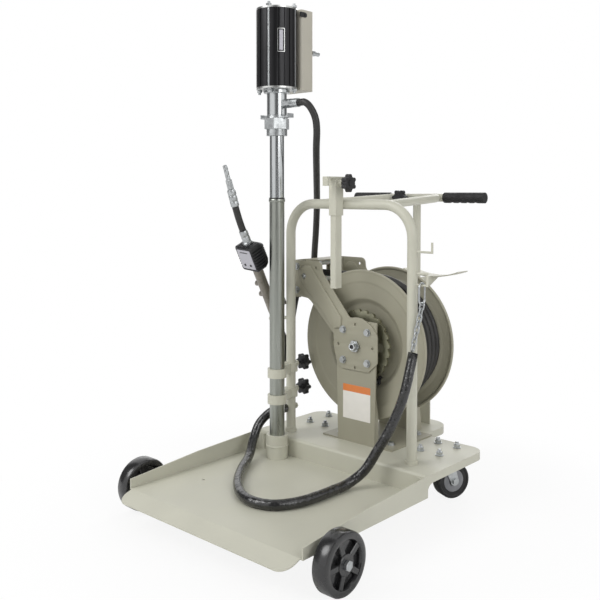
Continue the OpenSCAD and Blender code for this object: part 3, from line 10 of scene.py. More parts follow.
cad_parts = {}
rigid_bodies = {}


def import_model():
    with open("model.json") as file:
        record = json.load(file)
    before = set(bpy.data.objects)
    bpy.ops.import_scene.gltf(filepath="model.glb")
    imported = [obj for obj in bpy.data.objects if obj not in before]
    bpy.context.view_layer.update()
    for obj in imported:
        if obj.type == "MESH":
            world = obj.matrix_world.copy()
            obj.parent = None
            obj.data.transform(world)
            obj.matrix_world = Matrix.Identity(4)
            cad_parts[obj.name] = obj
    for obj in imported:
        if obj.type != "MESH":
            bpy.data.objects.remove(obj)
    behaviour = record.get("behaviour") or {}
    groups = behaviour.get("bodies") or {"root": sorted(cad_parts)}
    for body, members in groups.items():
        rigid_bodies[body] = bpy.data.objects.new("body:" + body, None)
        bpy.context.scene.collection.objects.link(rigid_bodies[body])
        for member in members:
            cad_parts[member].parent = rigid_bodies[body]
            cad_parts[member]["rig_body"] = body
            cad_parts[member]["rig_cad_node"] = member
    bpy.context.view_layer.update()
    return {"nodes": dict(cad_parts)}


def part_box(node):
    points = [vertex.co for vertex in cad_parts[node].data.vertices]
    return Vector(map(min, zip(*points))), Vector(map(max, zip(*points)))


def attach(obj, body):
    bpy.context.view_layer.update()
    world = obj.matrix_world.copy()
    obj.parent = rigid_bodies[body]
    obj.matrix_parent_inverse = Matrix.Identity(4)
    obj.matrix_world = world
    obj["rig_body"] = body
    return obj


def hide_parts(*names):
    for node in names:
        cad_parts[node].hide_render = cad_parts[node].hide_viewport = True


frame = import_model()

bl_info = {
    "name": "Oil pump cart",
    "version": (1, 0, 0),
    "blender": (4, 5, 0),
    "location": "View3D > Sidebar > Pump cart",
    "description": "Finishes and details of an air-operated oil pump cart on its drum trolley",
    "category": "Object",
}

MM = 0.001
NODES = frame["nodes"]
WHITE = (1, 1, 1, 1)
RIGHT, BACK, FRONT, UP = (1, 0, 0), (0, 1, 0), (0, -1, 0), (0, 0, 1)

# Noise lies mostly between these two values
NOISE_LOW, NOISE_HIGH = 0.3, 0.7

# Angles in degrees: the least fold that counts as an edge on solids, turned pieces and skins
EDGE_ANGLE, TURN_ANGLE, SKIN_ANGLE = 32, 35, 28
# A solid's faces that meet at less than this many degrees are one face
FLAT_ANGLE = 0.4
EDGE_STEPS = 2
# Points closer than this are one point, on solids, cut sheets and turned pieces
SOLID_GAP, SHEET_GAP, TURN_GAP = 0.002 * MM, 0.005 * MM, 0.01 * MM
# No route runs along this line, so a tube's rings can start from it
OFF_ROUTE = (0.31, 0.87, 0.38)


def linear(code):
    """Linear colour of an sRGB hex code."""
    parts = [int(code[i:i + 2], 16) / 255 for i in (1, 3, 5)]
    return tuple(c / 12.92 if c <= 0.04045 else ((c + 0.055) / 1.055) ** 2.4 for c in parts)


def colour(name, code, text):
    """Colour property with a default from a hex code."""
    return FloatVectorProperty(name=name, description=text, subtype="COLOR", size=3, min=0, max=1,
        default=linear(code))


def length(name, mm, text):
    """Length property with a default in millimetres."""
    return FloatProperty(name=name, description=text, subtype="DISTANCE", unit="LENGTH",
        default=mm * MM, min=0, precision=5)


class CartColours(bpy.types.PropertyGroup):
    """Colours of the cart's finishes."""
    paint: colour("Cart paint", "#c3c2b3", "Powder coat of the tray, hoop and handle")
    reel: colour("Reel paint", "#9f9c8a", "Powder coat of the reel, its stand and its arms")
    cover: colour("Cover paint", "#b9b5a8", "Paint of the valve cover")
    gear: colour("Gear", "#9a9984", "Yellowed zinc of the ratchet gear")
    zinc: colour("Zinc", "#b9bcbd", "Zinc plating on fasteners, forks and fittings")
    steel: colour("Bright steel", "#c4c7c8", "Ground steel of the pump's tubes")
    galvanised: colour("Galvanising", "#9fa29b", "Galvanised skin of the pump's lower tube")
    alloy: colour("Aluminium", "#c9cac8", "Machined aluminium of the motor's caps")
    cast: colour("Casting", "#8f8a82", "Tumbled casting of the gun")
    anodised: colour("Black anodising", "#232325", "Anodised cylinder of the air motor")
    moulding: colour("Black moulding", "#1d1d1f", "Glass-filled nylon of knobs and the meter")
    tyre: colour("Wheel", "#1b1b1c", "Wheels, and the rubber of casters and grips")
    core: colour("Wheel core", "#85868a", "Moulded core of the caster wheels")
    hose: colour("Hose", "#2b2a29", "Wrapped rubber of the hoses")
    sleeve: colour("Sleeve", "#151516", "Vinyl sleeve over the chain")
    nylon: colour("Rollers", "#e8e6de", "White nylon of the guide rollers")
    face: colour("Meter face", "#b4b3bb", "Printed film on the meter's face")
    label: colour("Label", "#ece9e2", "Bare label on the pedestal")
    band: colour("Label band", "#e0813c", "Plain band across the label")


class CartSizes(bpy.types.PropertyGroup):
    """Sizes of the cart's details."""
    sheet_round: length("Sheet edge", 0.9, "Rounding of folded and cut sheet edges")
    part_round: length("Machined edge", 0.5, "Rounding of turned and milled edges")
    mould_round: length("Moulded edge", 1.6, "Rounding of moulded plastic and rubber edges")
    hose_r: length("Hose radius", 10, "Outer radius of the oil hoses")
    sleeve_r: length("Sleeve radius", 13, "Outer radius of the sleeve over the chain")
    hose_sides: IntProperty(name="Hose sides", description="Sides round a hose", default=20, min=8,
        max=48)
    route_steps: IntProperty(name="Route steps", description="Steps between two route points",
        default=8, min=2, max=16)


def colours():
    return bpy.context.scene.cart_colours


def sizes():
    return bpy.context.scene.cart_sizes


def add(tree, kind, values=None, links=None, **settings):
    """One shader node with its settings, socket values and incoming links."""
    made = tree.nodes.new("ShaderNode" + kind)
    for key, value in settings.items():
        setattr(made, key, value)
    for key, value in (values or {}).items():
        made.inputs[key].default_value = value
    for key, source in (links or {}).items():
        tree.links.new(source, made.inputs[key])
    return made


def surface(name, base, roughness, metallic=0.0, **more):
    """A material with its Principled shader set, and its node tree."""
    made = bpy.data.materials.new(name)
    made.use_nodes = True
    tree = made.node_tree
    shader = tree.nodes["Principled BSDF"]
    shader.inputs["Base Color"].default_value = (*base, 1)
    shader.inputs["Roughness"].default_value = roughness
    shader.inputs["Metallic"].default_value = metallic
    for key, value in more.items():
        shader.inputs[key.replace("_", " ")].default_value = value
    made.diffuse_color = (*base, 1)
    return made, tree, shader


def scale_of(mm):
    """Pattern scale whose features measure that many millimetres."""
    return 1 / (mm * MM)


def object_place(tree, stretch=(1, 1, 1)):
    """Object coordinates, stretched for drawn or turned grain."""
    place = add(tree, "TexCoord")
    return add(tree, "Mapping", {"Scale": stretch},
        {"Vector": place.outputs["Object"]}).outputs["Vector"]


def noise_at(tree, place, mm, detail):
    """Noise with features of a given size."""
    return add(tree, "TexNoise", {"Scale": scale_of(mm), "Detail": detail},
        {"Vector": place}).outputs["Fac"]


def mottle(tree, shader, base, place, mm, spread):
    """Soft change of colour over patches of a given size, darker and lighter by spread."""
    ramp = add(tree, "ValToRGB", links={"Fac": noise_at(tree, place, mm, detail=4.0)})
    for end, at, share in zip(ramp.color_ramp.elements, (NOISE_LOW, NOISE_HIGH),
            (1 - spread, 1 + spread)):
        end.position = at
        end.color = (*[min(1, c * share) for c in base], 1)
    tree.links.new(ramp.outputs["Color"], shader.inputs["Base Color"])


def uneven_gloss(tree, shader, place, mm, low, high):
    """Roughness that wanders between two values over patches of a given size."""
    span = add(tree, "MapRange", {"From Min": NOISE_LOW, "From Max": NOISE_HIGH,
        "To Min": low, "To Max": high}, {"Value": noise_at(tree, place, mm, detail=3.0)})
    tree.links.new(span.outputs["Result"], shader.inputs["Roughness"])


def grain(tree, shader, place, mm, depth_mm, strength):
    """Fine relief of a given width and depth."""
    bump = add(tree, "Bump", {"Strength": strength, "Distance": depth_mm * MM},
        {"Height": noise_at(tree, place, mm, detail=2.0)})
    tree.links.new(bump.outputs["Normal"], shader.inputs["Normal"])


def patterned(name, base, roughness, mottled, gloss=None, relief=None, metallic=0.0,
        stretch=(1, 1, 1), **more):
    """A material with patterns that lie still on the piece, with their sizes in millimetres.

    mottled is the size of the patches and their spread of colour. gloss is the size of the patches
    and the lowest and highest roughness. relief is the grain's width, depth and strength.
    """
    made, tree, shader = surface(name, base, roughness, metallic, **more)
    place = object_place(tree, stretch)
    mottle(tree, shader, base, place, *mottled)
    if gloss:
        uneven_gloss(tree, shader, place, *gloss)
    if relief:
        grain(tree, shader, place, *relief)
    return made


def powder_coat(name, base):
    """Polyester powder coat on sheet and tube: satin, with orange peel and a slight mottle."""
    # Real orange peel is 1 to 2 mm wide; it is drawn at 5 mm so that it shows
    return patterned(name, base, 0.42, mottled=(120, 0.045), gloss=(60, 0.36, 0.5),
        relief=(5, 0.12, 0.35), IOR=1.5)


def zinc_plate(name, base, rough=0.34):
    """Zinc plated steel: grey metal with cloudy patches and a faint crystalline grain."""
    return patterned(name, base, rough, mottled=(14, 0.13), gloss=(9, rough - 0.08, rough + 0.12),
        relief=(2.5, 0.05, 0.3), metallic=1.0)


def drawn_steel(name, base, rough):
    """Drawn or ground tube: mirror-like round its girth, with fine lines along its length."""
    # Drawing lines are under 0.1 mm apart; they are drawn at 3 mm so that they show
    return patterned(name, base, rough, mottled=(5, 0.09), gloss=(6, rough - 0.05, rough + 0.08),
        relief=(3, 0.02, 0.25), metallic=1.0, stretch=(1, 1, 0.03))


def turned_alloy(name, base):
    """Machined aluminium: bright, with rings from the turning tool."""
    made, tree, shader = surface(name, base, 0.3, 1.0)
    mottle(tree, shader, base, object_place(tree), 30, 0.06)
    uneven_gloss(tree, shader, object_place(tree, (0.2, 0.2, 6)), 8, 0.22, 0.38)
    grain(tree, shader, object_place(tree, (0.2, 0.2, 4)), 3, 0.03, 0.25)
    return made


def black_anodising(name, base):
    """Black anodised extrusion: deep black with soft bright streaks along the flutes."""
    return patterned(name, base, 0.3, mottled=(8, 0.2), gloss=(10, 0.24, 0.38), metallic=0.65,
        stretch=(1, 1, 0.05), Coat_Weight=0.15, Coat_Roughness=0.3)


def tumbled_casting(name, base):
    """Tumbled zinc casting: dull metal with a pebbled skin."""
    return patterned(name, base, 0.42, mottled=(10, 0.16), gloss=(6, 0.34, 0.52),
        relief=(2.2, 0.15, 0.5), metallic=0.85)


def moulded_nylon(name, base, rough=0.46):
    """Glass-filled nylon: dull, lightly textured by the mould."""
    return patterned(name, base, rough, mottled=(25, 0.12), gloss=(12, rough - 0.06, rough + 0.08),
        relief=(1.6, 0.06, 0.35), IOR=1.53)


def gloss_moulding(name, base):
    """Hard moulded wheel: gloss black from a polished mould, with faint flow marks."""
    return patterned(name, base, 0.24, mottled=(30, 0.08), gloss=(22, 0.2, 0.3),
        relief=(12, 0.05, 0.2), IOR=1.55, Coat_Weight=0.4, Coat_Roughness=0.12)


def vulcanised_rubber(name, base, rough):
    """Vulcanised rubber of tyres and grips: matt, with a bloom that lifts the colour in patches."""
    return patterned(name, base, rough, mottled=(40, 0.18), gloss=(18, rough - 0.1, rough + 0.08),
        relief=(1.8, 0.08, 0.4), IOR=1.52)


def wrapped_hose(name, base):
    """Hose cured under cloth tape: slanting tape marks round it and a dull sheen."""
    made = patterned(name, base, 0.5, mottled=(35, 0.16), gloss=(15, 0.42, 0.58), IOR=1.52)
    tree = made.node_tree
    own = add(tree, "UVMap", uv_map="UVMap")
    # Tape marks are 1.5 mm apart on the real hose; they are drawn at 4 mm so that they show
    turn = add(tree, "Mapping", {"Scale": (0.9, scale_of(4 * 2 * math.pi), 1.0),
        "Rotation": (0, 0, 0.004)}, {"Vector": own.outputs["UV"]})
    tape = add(tree, "TexWave", {"Scale": 1.0, "Distortion": 0.6, "Detail": 1.0},
        {"Vector": turn.outputs["Vector"]}, bands_direction="Y")
    bump = add(tree, "Bump", {"Strength": 0.35, "Distance": 0.25 * MM},
        {"Height": tape.outputs["Fac"]})
    tree.links.new(bump.outputs["Normal"], tree.nodes["Principled BSDF"].inputs["Normal"])
    return made


def vinyl_sleeve(name, base):
    """Thin vinyl sleeve over a chain: glossy black film, dented by the links inside."""
    return patterned(name, base, 0.2, mottled=(30, 0.2), gloss=(20, 0.14, 0.3),
        relief=(14, 5.0, 1.0), IOR=1.56, Coat_Weight=0.5, Coat_Roughness=0.1)


def turned_nylon(name, base):
    """White nylon rollers: waxy, with a faint grain from turning."""
    return patterned(name, base, 0.42, mottled=(18, 0.04), relief=(2, 0.04, 0.3), IOR=1.53,
        Subsurface_Weight=0.08)


def printed_film(name, base):
    """Printed polyester film, bare of any print: flat colour under a satin varnish."""
    return patterned(name, base, 0.38, mottled=(20, 0.02), relief=(4, 0.02, 0.2), IOR=1.55,
        Coat_Weight=0.3, Coat_Roughness=0.25)


FINISHES = {}


def make_finishes():
    """Every finish under its slot's name."""
    c = colours()
    FINISHES.update({
        "painted_steel": powder_coat("powder_coat_grey", c.paint),
        "reel_paint": powder_coat("powder_coat_reel", c.reel),
        "cover_paint": powder_coat("powder_coat_cover", c.cover),
        "zinc_steel": zinc_plate("zinc_plated_steel", c.zinc),
        "gear_zinc": zinc_plate("yellowed_zinc_gear", c.gear, 0.46),
        "bright_steel": drawn_steel("ground_steel_tube", c.steel, 0.17),
        "galvanised": drawn_steel("galvanised_tube", c.galvanised, 0.3),
        "cap_aluminium": turned_alloy("machined_aluminium", c.alloy),
        "cylinder_black": black_anodising("anodised_aluminium", c.anodised),
        "gun_casting": tumbled_casting("tumbled_zinc_casting", c.cast),
        "wheel_black": gloss_moulding("gloss_moulded_wheel", c.tyre),
        "core_grey": moulded_nylon("grey_moulded_core", c.core, 0.4),
        "caster_black": vulcanised_rubber("caster_rubber", c.tyre, 0.5),
        "knob_black": moulded_nylon("glass_filled_nylon", c.moulding),
        "grip_rubber": vulcanised_rubber("grip_rubber", c.tyre, 0.62),
        "hose_rubber": wrapped_hose("wrapped_rubber_hose", c.hose),
        "sleeve_vinyl": vinyl_sleeve("vinyl_sleeve", c.sleeve),
        "roller_white": turned_nylon("white_nylon", c.nylon),
        "meter_face": printed_film("meter_face_film", c.face),
        "label_film": printed_film("bare_label_film", c.label),
        "band_film": printed_film("plain_band_film", c.band),
    })


def deselect():
    bpy.ops.object.select_all(action="DESELECT")


def only(piece):
    """The piece alone selected and active."""
    deselect()
    piece.select_set(True)
    bpy.context.view_layer.objects.active = piece


def smoothed(piece, angle):
    """Smooth shading, apart from edges that fold by more than the angle."""
    only(piece)
    bpy.ops.object.shade_smooth_by_angle(angle=math.radians(angle))
    return piece


def apply_all(piece):
    """Applies the piece's modifiers in order."""
    only(piece)
    for modifier in list(piece.modifiers):
        bpy.ops.object.modifier_apply(modifier=modifier.name)


def cleaned(piece, gap, angle):
    """Joins points closer than the gap, turns the faces outwards and smooths them."""
    only(piece)
    bpy.ops.object.mode_set(mode="EDIT")
    bpy.ops.mesh.select_all(action="SELECT")
    bpy.ops.mesh.remove_doubles(threshold=gap)
    bpy.ops.mesh.normals_make_consistent(inside=False)
    bpy.ops.object.mode_set(mode="OBJECT")
    return smoothed(piece, angle)


def linked(data):
    """A new object in the scene, which settle names."""
    piece = bpy.data.objects.new("piece", data)
    bpy.context.scene.collection.objects.link(piece)
    return piece


def from_shape(shape):
    """The object of a finished bmesh."""
    mesh = bpy.data.meshes.new("piece")
    shape.to_mesh(mesh)
    shape.free()
    return linked(mesh)


def settle(piece, name, body, finish, replaced=()):
    """The piece's place goes into its mesh; it gets its name, finish and body."""
    only(piece)
    bpy.ops.object.transform_apply(location=True, rotation=True, scale=True)
    piece.name = name
    piece.data.name = name
    piece.data.materials.clear()
    piece.data.materials.append(FINISHES[finish])
    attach(piece, body)
    if replaced:
        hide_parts(*replaced)


def body_of(node):
    return NODES[node]["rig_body"]


def softened(node, finish, width, smooth=EDGE_ANGLE):
    """A copy of a node with its edges rounded, which stands for the node."""
    piece = NODES[node].copy()
    piece.data = NODES[node].data.copy()
    piece.parent = None
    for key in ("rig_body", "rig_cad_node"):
        del piece[key]
    bpy.context.scene.collection.objects.link(piece)
    shape = bmesh.new()
    shape.from_mesh(piece.data)
    bmesh.ops.remove_doubles(shape, verts=shape.verts, dist=SOLID_GAP)
    bmesh.ops.dissolve_limit(shape, angle_limit=math.radians(FLAT_ANGLE), verts=shape.verts,
        edges=shape.edges)
    shape.to_mesh(piece.data)
    shape.free()
    smoothed(piece, smooth)
    bevel = piece.modifiers.new("edge", "BEVEL")
    bevel.limit_method = "ANGLE"
    bevel.angle_limit = math.radians(EDGE_ANGLE)
    bevel.width = width
    bevel.segments = EDGE_STEPS
    bevel.harden_normals = True
    bevel.use_clamp_overlap = True
    apply_all(piece)
    settle(piece, node + "_finished", body_of(node), finish, [node])


def dress(nodes, finish, width):
    """Softened copies of several nodes in one finish."""
    for node in nodes:
        softened(node, finish, width)


def middle(node):
    """Middle of a node's box."""
    low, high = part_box(node)
    return (low + high) / 2


def blend_point(a, b, c, d, t):
    """Point of a smooth curve through four route points."""
    return (2 * b + (c - a) * t + (2 * a - 5 * b + 4 * c - d) * t ** 2
        + (3 * b - a - 3 * c + d) * t ** 3) / 2


def smooth_route(points, steps):
    """Route in metres with extra points between its own, straight in its first and last stretch."""
    p = [Vector(q) * MM for q in points]
    inner = [blend_point(p[i - 1], p[i], p[i + 1], p[i + 2], j / steps)
        for i in range(1, len(p) - 2) for j in range(steps)]
    return [p[0], *inner, p[-2], p[-1]]


def tube(path, radius, sides):
    """Tube along a path, with its own map: once round across, metres along."""
    shape = bmesh.new()
    side = Vector(OFF_ROUTE)
    turns = [2 * math.pi * j / sides for j in range(sides)]
    rings, along, travelled = [], [], 0.0
    for i, point in enumerate(path):
        heading = (path[min(i + 1, len(path) - 1)] - path[max(i - 1, 0)]).normalized()
        side = (side - heading * side.dot(heading)).normalized()
        other = heading.cross(side)
        rings.append([shape.verts.new(point + radius * (math.cos(t) * side + math.sin(t) * other))
            for t in turns])
        along.append(travelled)
        if i + 1 < len(path):
            travelled += (path[i + 1] - point).length
    layer = shape.loops.layers.uv.new("UVMap")
    for i in range(len(rings) - 1):
        for j in range(sides):
            k = (j + 1) % sides
            face = shape.faces.new((rings[i][j], rings[i][k], rings[i + 1][k], rings[i + 1][j]))
            face.smooth = True
            spots = ((j, i), (j + 1, i), (j + 1, i + 1), (j, i + 1))
            for loop, (across, row) in zip(face.loops, spots):
                loop[layer].uv = (across / sides, along[row])
    shape.faces.new(reversed(rings[0]))
    shape.faces.new(rings[-1])
    return from_shape(shape)


def turned(outline, at, towards, steps=48):
    """Outline of radius and height in millimetres turned round an axis, as on a lathe."""
    mesh = bpy.data.meshes.new("piece")
    mesh.from_pydata([(r * MM, 0, z * MM) for r, z in outline],
        [(i, i + 1) for i in range(len(outline) - 1)], [])
    piece = linked(mesh)
    screw = piece.modifiers.new("turn", "SCREW")
    screw.steps = screw.render_steps = steps
    screw.use_merge_vertices = True
    screw.merge_threshold = TURN_GAP
    screw.use_normal_calculate = True
    apply_all(piece)
    cleaned(piece, TURN_GAP, TURN_ANGLE)
    piece.data.transform(Vector(towards).to_track_quat("Z", "Y").to_matrix().to_4x4())
    piece.data.transform(Matrix.Translation(at))
    return piece


def rounded(corners, steps=6):
    """Outline through corners given as (x, z, radius), each one an arc of that radius."""
    outline = []
    for i, (x, z, r) in enumerate(corners):
        here = Vector((x, z))
        back = (Vector(corners[i - 1][:2]) - here).normalized()
        on = (Vector(corners[(i + 1) % len(corners)][:2]) - here).normalized()
        half = back.angle(on) / 2
        centre = here + (back + on).normalized() * r / math.sin(half)
        first, last = here + back * r / math.tan(half), here + on * r / math.tan(half)
        for j in range(steps + 1):
            ray = (first - centre).slerp(last - centre, j / steps, first - centre)
            outline.append(centre + ray.normalized() * r)
    return outline


def oblong(left, right, low, high, r, steps):
    """Outline of an oblong with its corners rounded."""
    return rounded([(left, low, r), (right, low, r), (right, high, r), (left, high, r)], steps)


def ring_of(x, z, r, steps=20):
    """Outline of a round hole."""
    turns = [2 * math.pi * i / steps for i in range(steps)]
    return [Vector((x + r * math.cos(a), z + r * math.sin(a))) for a in turns]


def plate(outlines, front, thick, edge):
    """Upright sheet across x, cut to outlines in millimetres, from a front plane backwards."""
    flat = bpy.data.curves.new("piece", "CURVE")
    flat.dimensions = "2D"
    flat.fill_mode = "BOTH"
    for outline in outlines:
        run = flat.splines.new("POLY")
        run.points.add(len(outline) - 1)
        for point, at in zip(run.points, outline):
            point.co = (at.x * MM, at.y * MM, 0, 1)
        run.use_cyclic_u = True
    flat.bevel_depth = edge
    flat.bevel_resolution = EDGE_STEPS
    flat.offset = -edge
    flat.extrude = thick / 2 - edge
    only(linked(flat))
    bpy.ops.object.convert(target="MESH")
    piece = bpy.context.object
    piece.data.transform(Matrix.Rotation(math.radians(90), 4, "X"))
    piece.data.transform(Matrix.Translation((0, front + thick / 2, 0)))
    return cleaned(piece, SHEET_GAP, EDGE_ANGLE)


def joined(pieces):
    """The pieces as one mesh."""
    only(pieces[0])
    for piece in pieces[1:]:
        piece.select_set(True)
    bpy.ops.object.join()
    return bpy.context.object


def lofted(rings, smooth=SKIN_ANGLE):
    """Closed skin through rings of points, one ring to the next, capped at both ends."""
    shape = bmesh.new()
    rows = [[shape.verts.new(point) for point in ring] for ring in rings]
    for low, high in zip(rows, rows[1:]):
        for i in range(len(low)):
            j = (i + 1) % len(low)
            shape.faces.new((low[i], low[j], high[j], high[i]))
    shape.faces.new(reversed(rows[0]))
    shape.faces.new(rows[-1])
    bmesh.ops.recalc_face_normals(shape, faces=shape.faces)
    return smoothed(from_shape(shape), smooth)


class CART_OT_stage(bpy.types.Operator):
    """Floor, light and camera at the photograph's viewing angle"""
    bl_idname = "cart.stage"
    bl_label = "Stage"

    # Camera fitted to the photograph, in metres and degrees
    place = (1.4300, -1.7160, 0.8620)
    yaw = 42.425
    pitch = -1.884
    focal_px = 806.67
    frame_px = 600
    axis_row = 218
    sensor_mm = 36
    farthest = 60
    # World: its plain light, and the bands that metal mirrors, by number, turn, edges and strength
    plain_light = 0.62
    bands, bands_turn = 3.0, 0.6
    band_from, band_to = -0.55, 0.35
    band_dark, band_bright = 0.16, 1.0
    # Floor: its size, whiteness and roughness, and where the shadow on it fades to white
    floor_size = 30
    floor_white = 0.9
    floor_rough = 0.9
    shadow_from, shadow_to = 0.55, 1.0
    shadow_glow = 0.88
    # Lamps: name, place, width and power; all aim at the cart's middle
    aim = (0, 0, 0.6)
    lamps = (("key", (-1.6, -3.2, 3.4), 2.6, 78), ("fill", (3.6, -1.0, 2.2), 2.4, 34),
        ("rear", (-1.2, 3.4, 2.8), 2.4, 34))

    def execute(self, context):
        self.make_world(context)
        self.make_floor()
        self.make_lamps()
        self.make_camera(context)
        context.scene.view_settings.view_transform = "Standard"
        return {"FINISHED"}

    def make_world(self, context):
        """White to the camera; bands of light and shade for metal; plain light for the rest."""
        world = bpy.data.worlds.new("studio")
        context.scene.world = world
        world.use_nodes = True
        tree = world.node_tree
        tree.nodes.clear()
        rays = add(tree, "LightPath")
        seen = add(tree, "Background", {"Color": WHITE, "Strength": 1.0})
        plain = add(tree, "Background", {"Color": WHITE, "Strength": self.plain_light})
        where = add(tree, "TexCoord")
        parts = add(tree, "SeparateXYZ", links={"Vector": where.outputs["Generated"]})
        around = add(tree, "Math", links={0: parts.outputs["Y"], 1: parts.outputs["X"]},
            operation="ARCTAN2")
        turns = add(tree, "Math", {1: self.bands, 2: self.bands_turn}, {0: around.outputs[0]},
            operation="MULTIPLY_ADD")
        wave = add(tree, "Math", links={0: turns.outputs[0]}, operation="SINE")
        ramp = add(tree, "MapRange", {"From Min": self.band_from, "From Max": self.band_to,
            "To Min": self.band_dark, "To Max": self.band_bright}, {"Value": wave.outputs[0]},
            interpolation_type="SMOOTHSTEP")
        banded = add(tree, "Background", {"Color": WHITE}, {"Strength": ramp.outputs["Result"]})
        glossy = add(tree, "MixShader", links={0: rays.outputs["Is Glossy Ray"],
            1: plain.outputs[0], 2: banded.outputs[0]})
        final = add(tree, "MixShader", links={0: rays.outputs["Is Camera Ray"],
            1: glossy.outputs[0], 2: seen.outputs[0]})
        add(tree, "OutputWorld", links={"Surface": final.outputs[0]})

    def make_floor(self):
        """Wide pale floor, white to the camera, with a trace of the cart's shadow near it."""
        deselect()
        bpy.ops.mesh.primitive_plane_add(size=self.floor_size)
        floor = bpy.context.object
        floor.name = "studio_floor"
        made, tree, shader = surface("matt_white_floor", (self.floor_white,) * 3,
            self.floor_rough)
        rays = add(tree, "LightPath")
        place = add(tree, "TexCoord")
        away = add(tree, "VectorMath", links={0: place.outputs["Object"]}, operation="LENGTH")
        fade = add(tree, "MapRange", {"From Min": self.shadow_from,
            "From Max": self.shadow_to, "To Min": self.shadow_glow, "To Max": 1.0},
            {"Value": away.outputs["Value"]}, interpolation_type="SMOOTHSTEP")
        share = add(tree, "Math", links={0: rays.outputs["Is Camera Ray"],
            1: fade.outputs["Result"]}, operation="MULTIPLY")
        glow = add(tree, "Emission", {"Color": WHITE, "Strength": 1.0})
        mix = add(tree, "MixShader", links={0: share.outputs[0], 1: shader.outputs["BSDF"],
            2: glow.outputs[0]})
        tree.links.new(mix.outputs[0], tree.nodes["Material Output"].inputs["Surface"])
        floor.data.materials.append(made)

    def make_lamps(self):
        """Large soft key from the front left, with weaker ones from the right and from behind."""
        for name, at, size, power in self.lamps:
            data = bpy.data.lights.new(name, "AREA")
            data.shape = "DISK"
            data.size = size
            data.energy = power
            lamp = bpy.data.objects.new(name, data)
            lamp.location = at
            towards = Vector(self.aim) - Vector(at)
            lamp.rotation_euler = towards.to_track_quat("-Z", "Y").to_euler()
            bpy.context.scene.collection.objects.link(lamp)

    def make_camera(self, context):
        """Camera whose axis meets the fitted row of the picture."""
        data = bpy.data.cameras.new("photo_camera")
        data.sensor_width = self.sensor_mm
        data.lens = self.focal_px / self.frame_px * self.sensor_mm
        data.shift_y = (self.axis_row - self.frame_px / 2) / self.frame_px
        data.clip_end = self.farthest
        camera = bpy.data.objects.new("photo_camera", data)
        camera.location = self.place
        yaw, pitch = math.radians(self.yaw), math.radians(self.pitch)
        ahead = Vector((-math.sin(yaw) * math.cos(pitch), math.cos(yaw) * math.cos(pitch),
            math.sin(pitch)))
        camera.rotation_euler = ahead.to_track_quat("-Z", "Y").to_euler()
        context.scene.collection.objects.link(camera)
        context.scene.camera = camera


class CART_OT_cords(bpy.types.Operator):
    """Free hoses and the sleeved drum chain, along the routes of their solids"""
    bl_idname = "cart.cords"
    bl_label = "Hoses and chain sleeve"

    # Route points in millimetres, the same as the solids follow
    pump_route = [(-107, -39, 1112), (-87, -39, 1112), (-70, -35, 1099), (-59, -25, 1070),
        (-62, -14, 1035), (-90, 16, 980), (-150, 86, 900), (-205, 150, 825), (-240, 186, 745),
        (-264, 206, 665), (-282, 224, 600), (-297, 256, 545), (-288, 306, 482), (-240, 338, 436),
        (-105, 339, 420), (-85, 339, 420)]
    reel_route = [(-250, 189, 610.3), (-270, 189, 610.3), (-298, 189, 594), (-318, 189, 552),
        (-326, 180, 500), (-324, 160, 430), (-312, 130, 370), (-296, 100, 340), (-280, 80, 345),
        (-268, 68, 380)]
    gun_inlet = (-263, 52, 435)
    gun_towards = (0, -0.45399, 0.891007)
    sleeve_route = [(236, 28, 440), (237, 18, 414), (236, -6, 350), (220, -10, 300),
        (198, -24, 240), (172, -40, 186), (146, -62, 132), (124, -104, 103), (120, -160, 100.2),
        (118, -216, 100.2), (108, -276, 100.2), (76, -330, 100.2), (17, -348, 100.2),
        (-46, -326, 100.2), (-112, -272, 100.2), (-172, -200, 100.2), (-216, -130, 108),
        (-246, -84, 138), (-254, -52, 176), (-240, -20, 206), (-219, -4, 214), (-219, 24.7, 214)]
    sleeve_sides = 24

    def execute(self, context):
        s = sizes()
        inlet, towards = Vector(self.gun_inlet), Vector(self.gun_towards)
        reel_route = [*self.reel_route, inlet - towards * 2 * s.hose_r / MM, inlet]
        self.hose("pump_hose", self.pump_route)
        self.hose("reel_hose", reel_route)
        path = smooth_route(self.sleeve_route, s.route_steps)
        sleeve = tube(path, s.sleeve_r, self.sleeve_sides)
        settle(sleeve, "chain_sleeve_film", "cart", "sleeve_vinyl", ["chain_sleeve"])
        return {"FINISHED"}

    def hose(self, node, route):
        """A free hose that stands for its node."""
        s = sizes()
        path = smooth_route(route, s.route_steps)
        piece = tube(path, s.hose_r, s.hose_sides)
        settle(piece, node + "_rubber", "cart", "hose_rubber", [node])


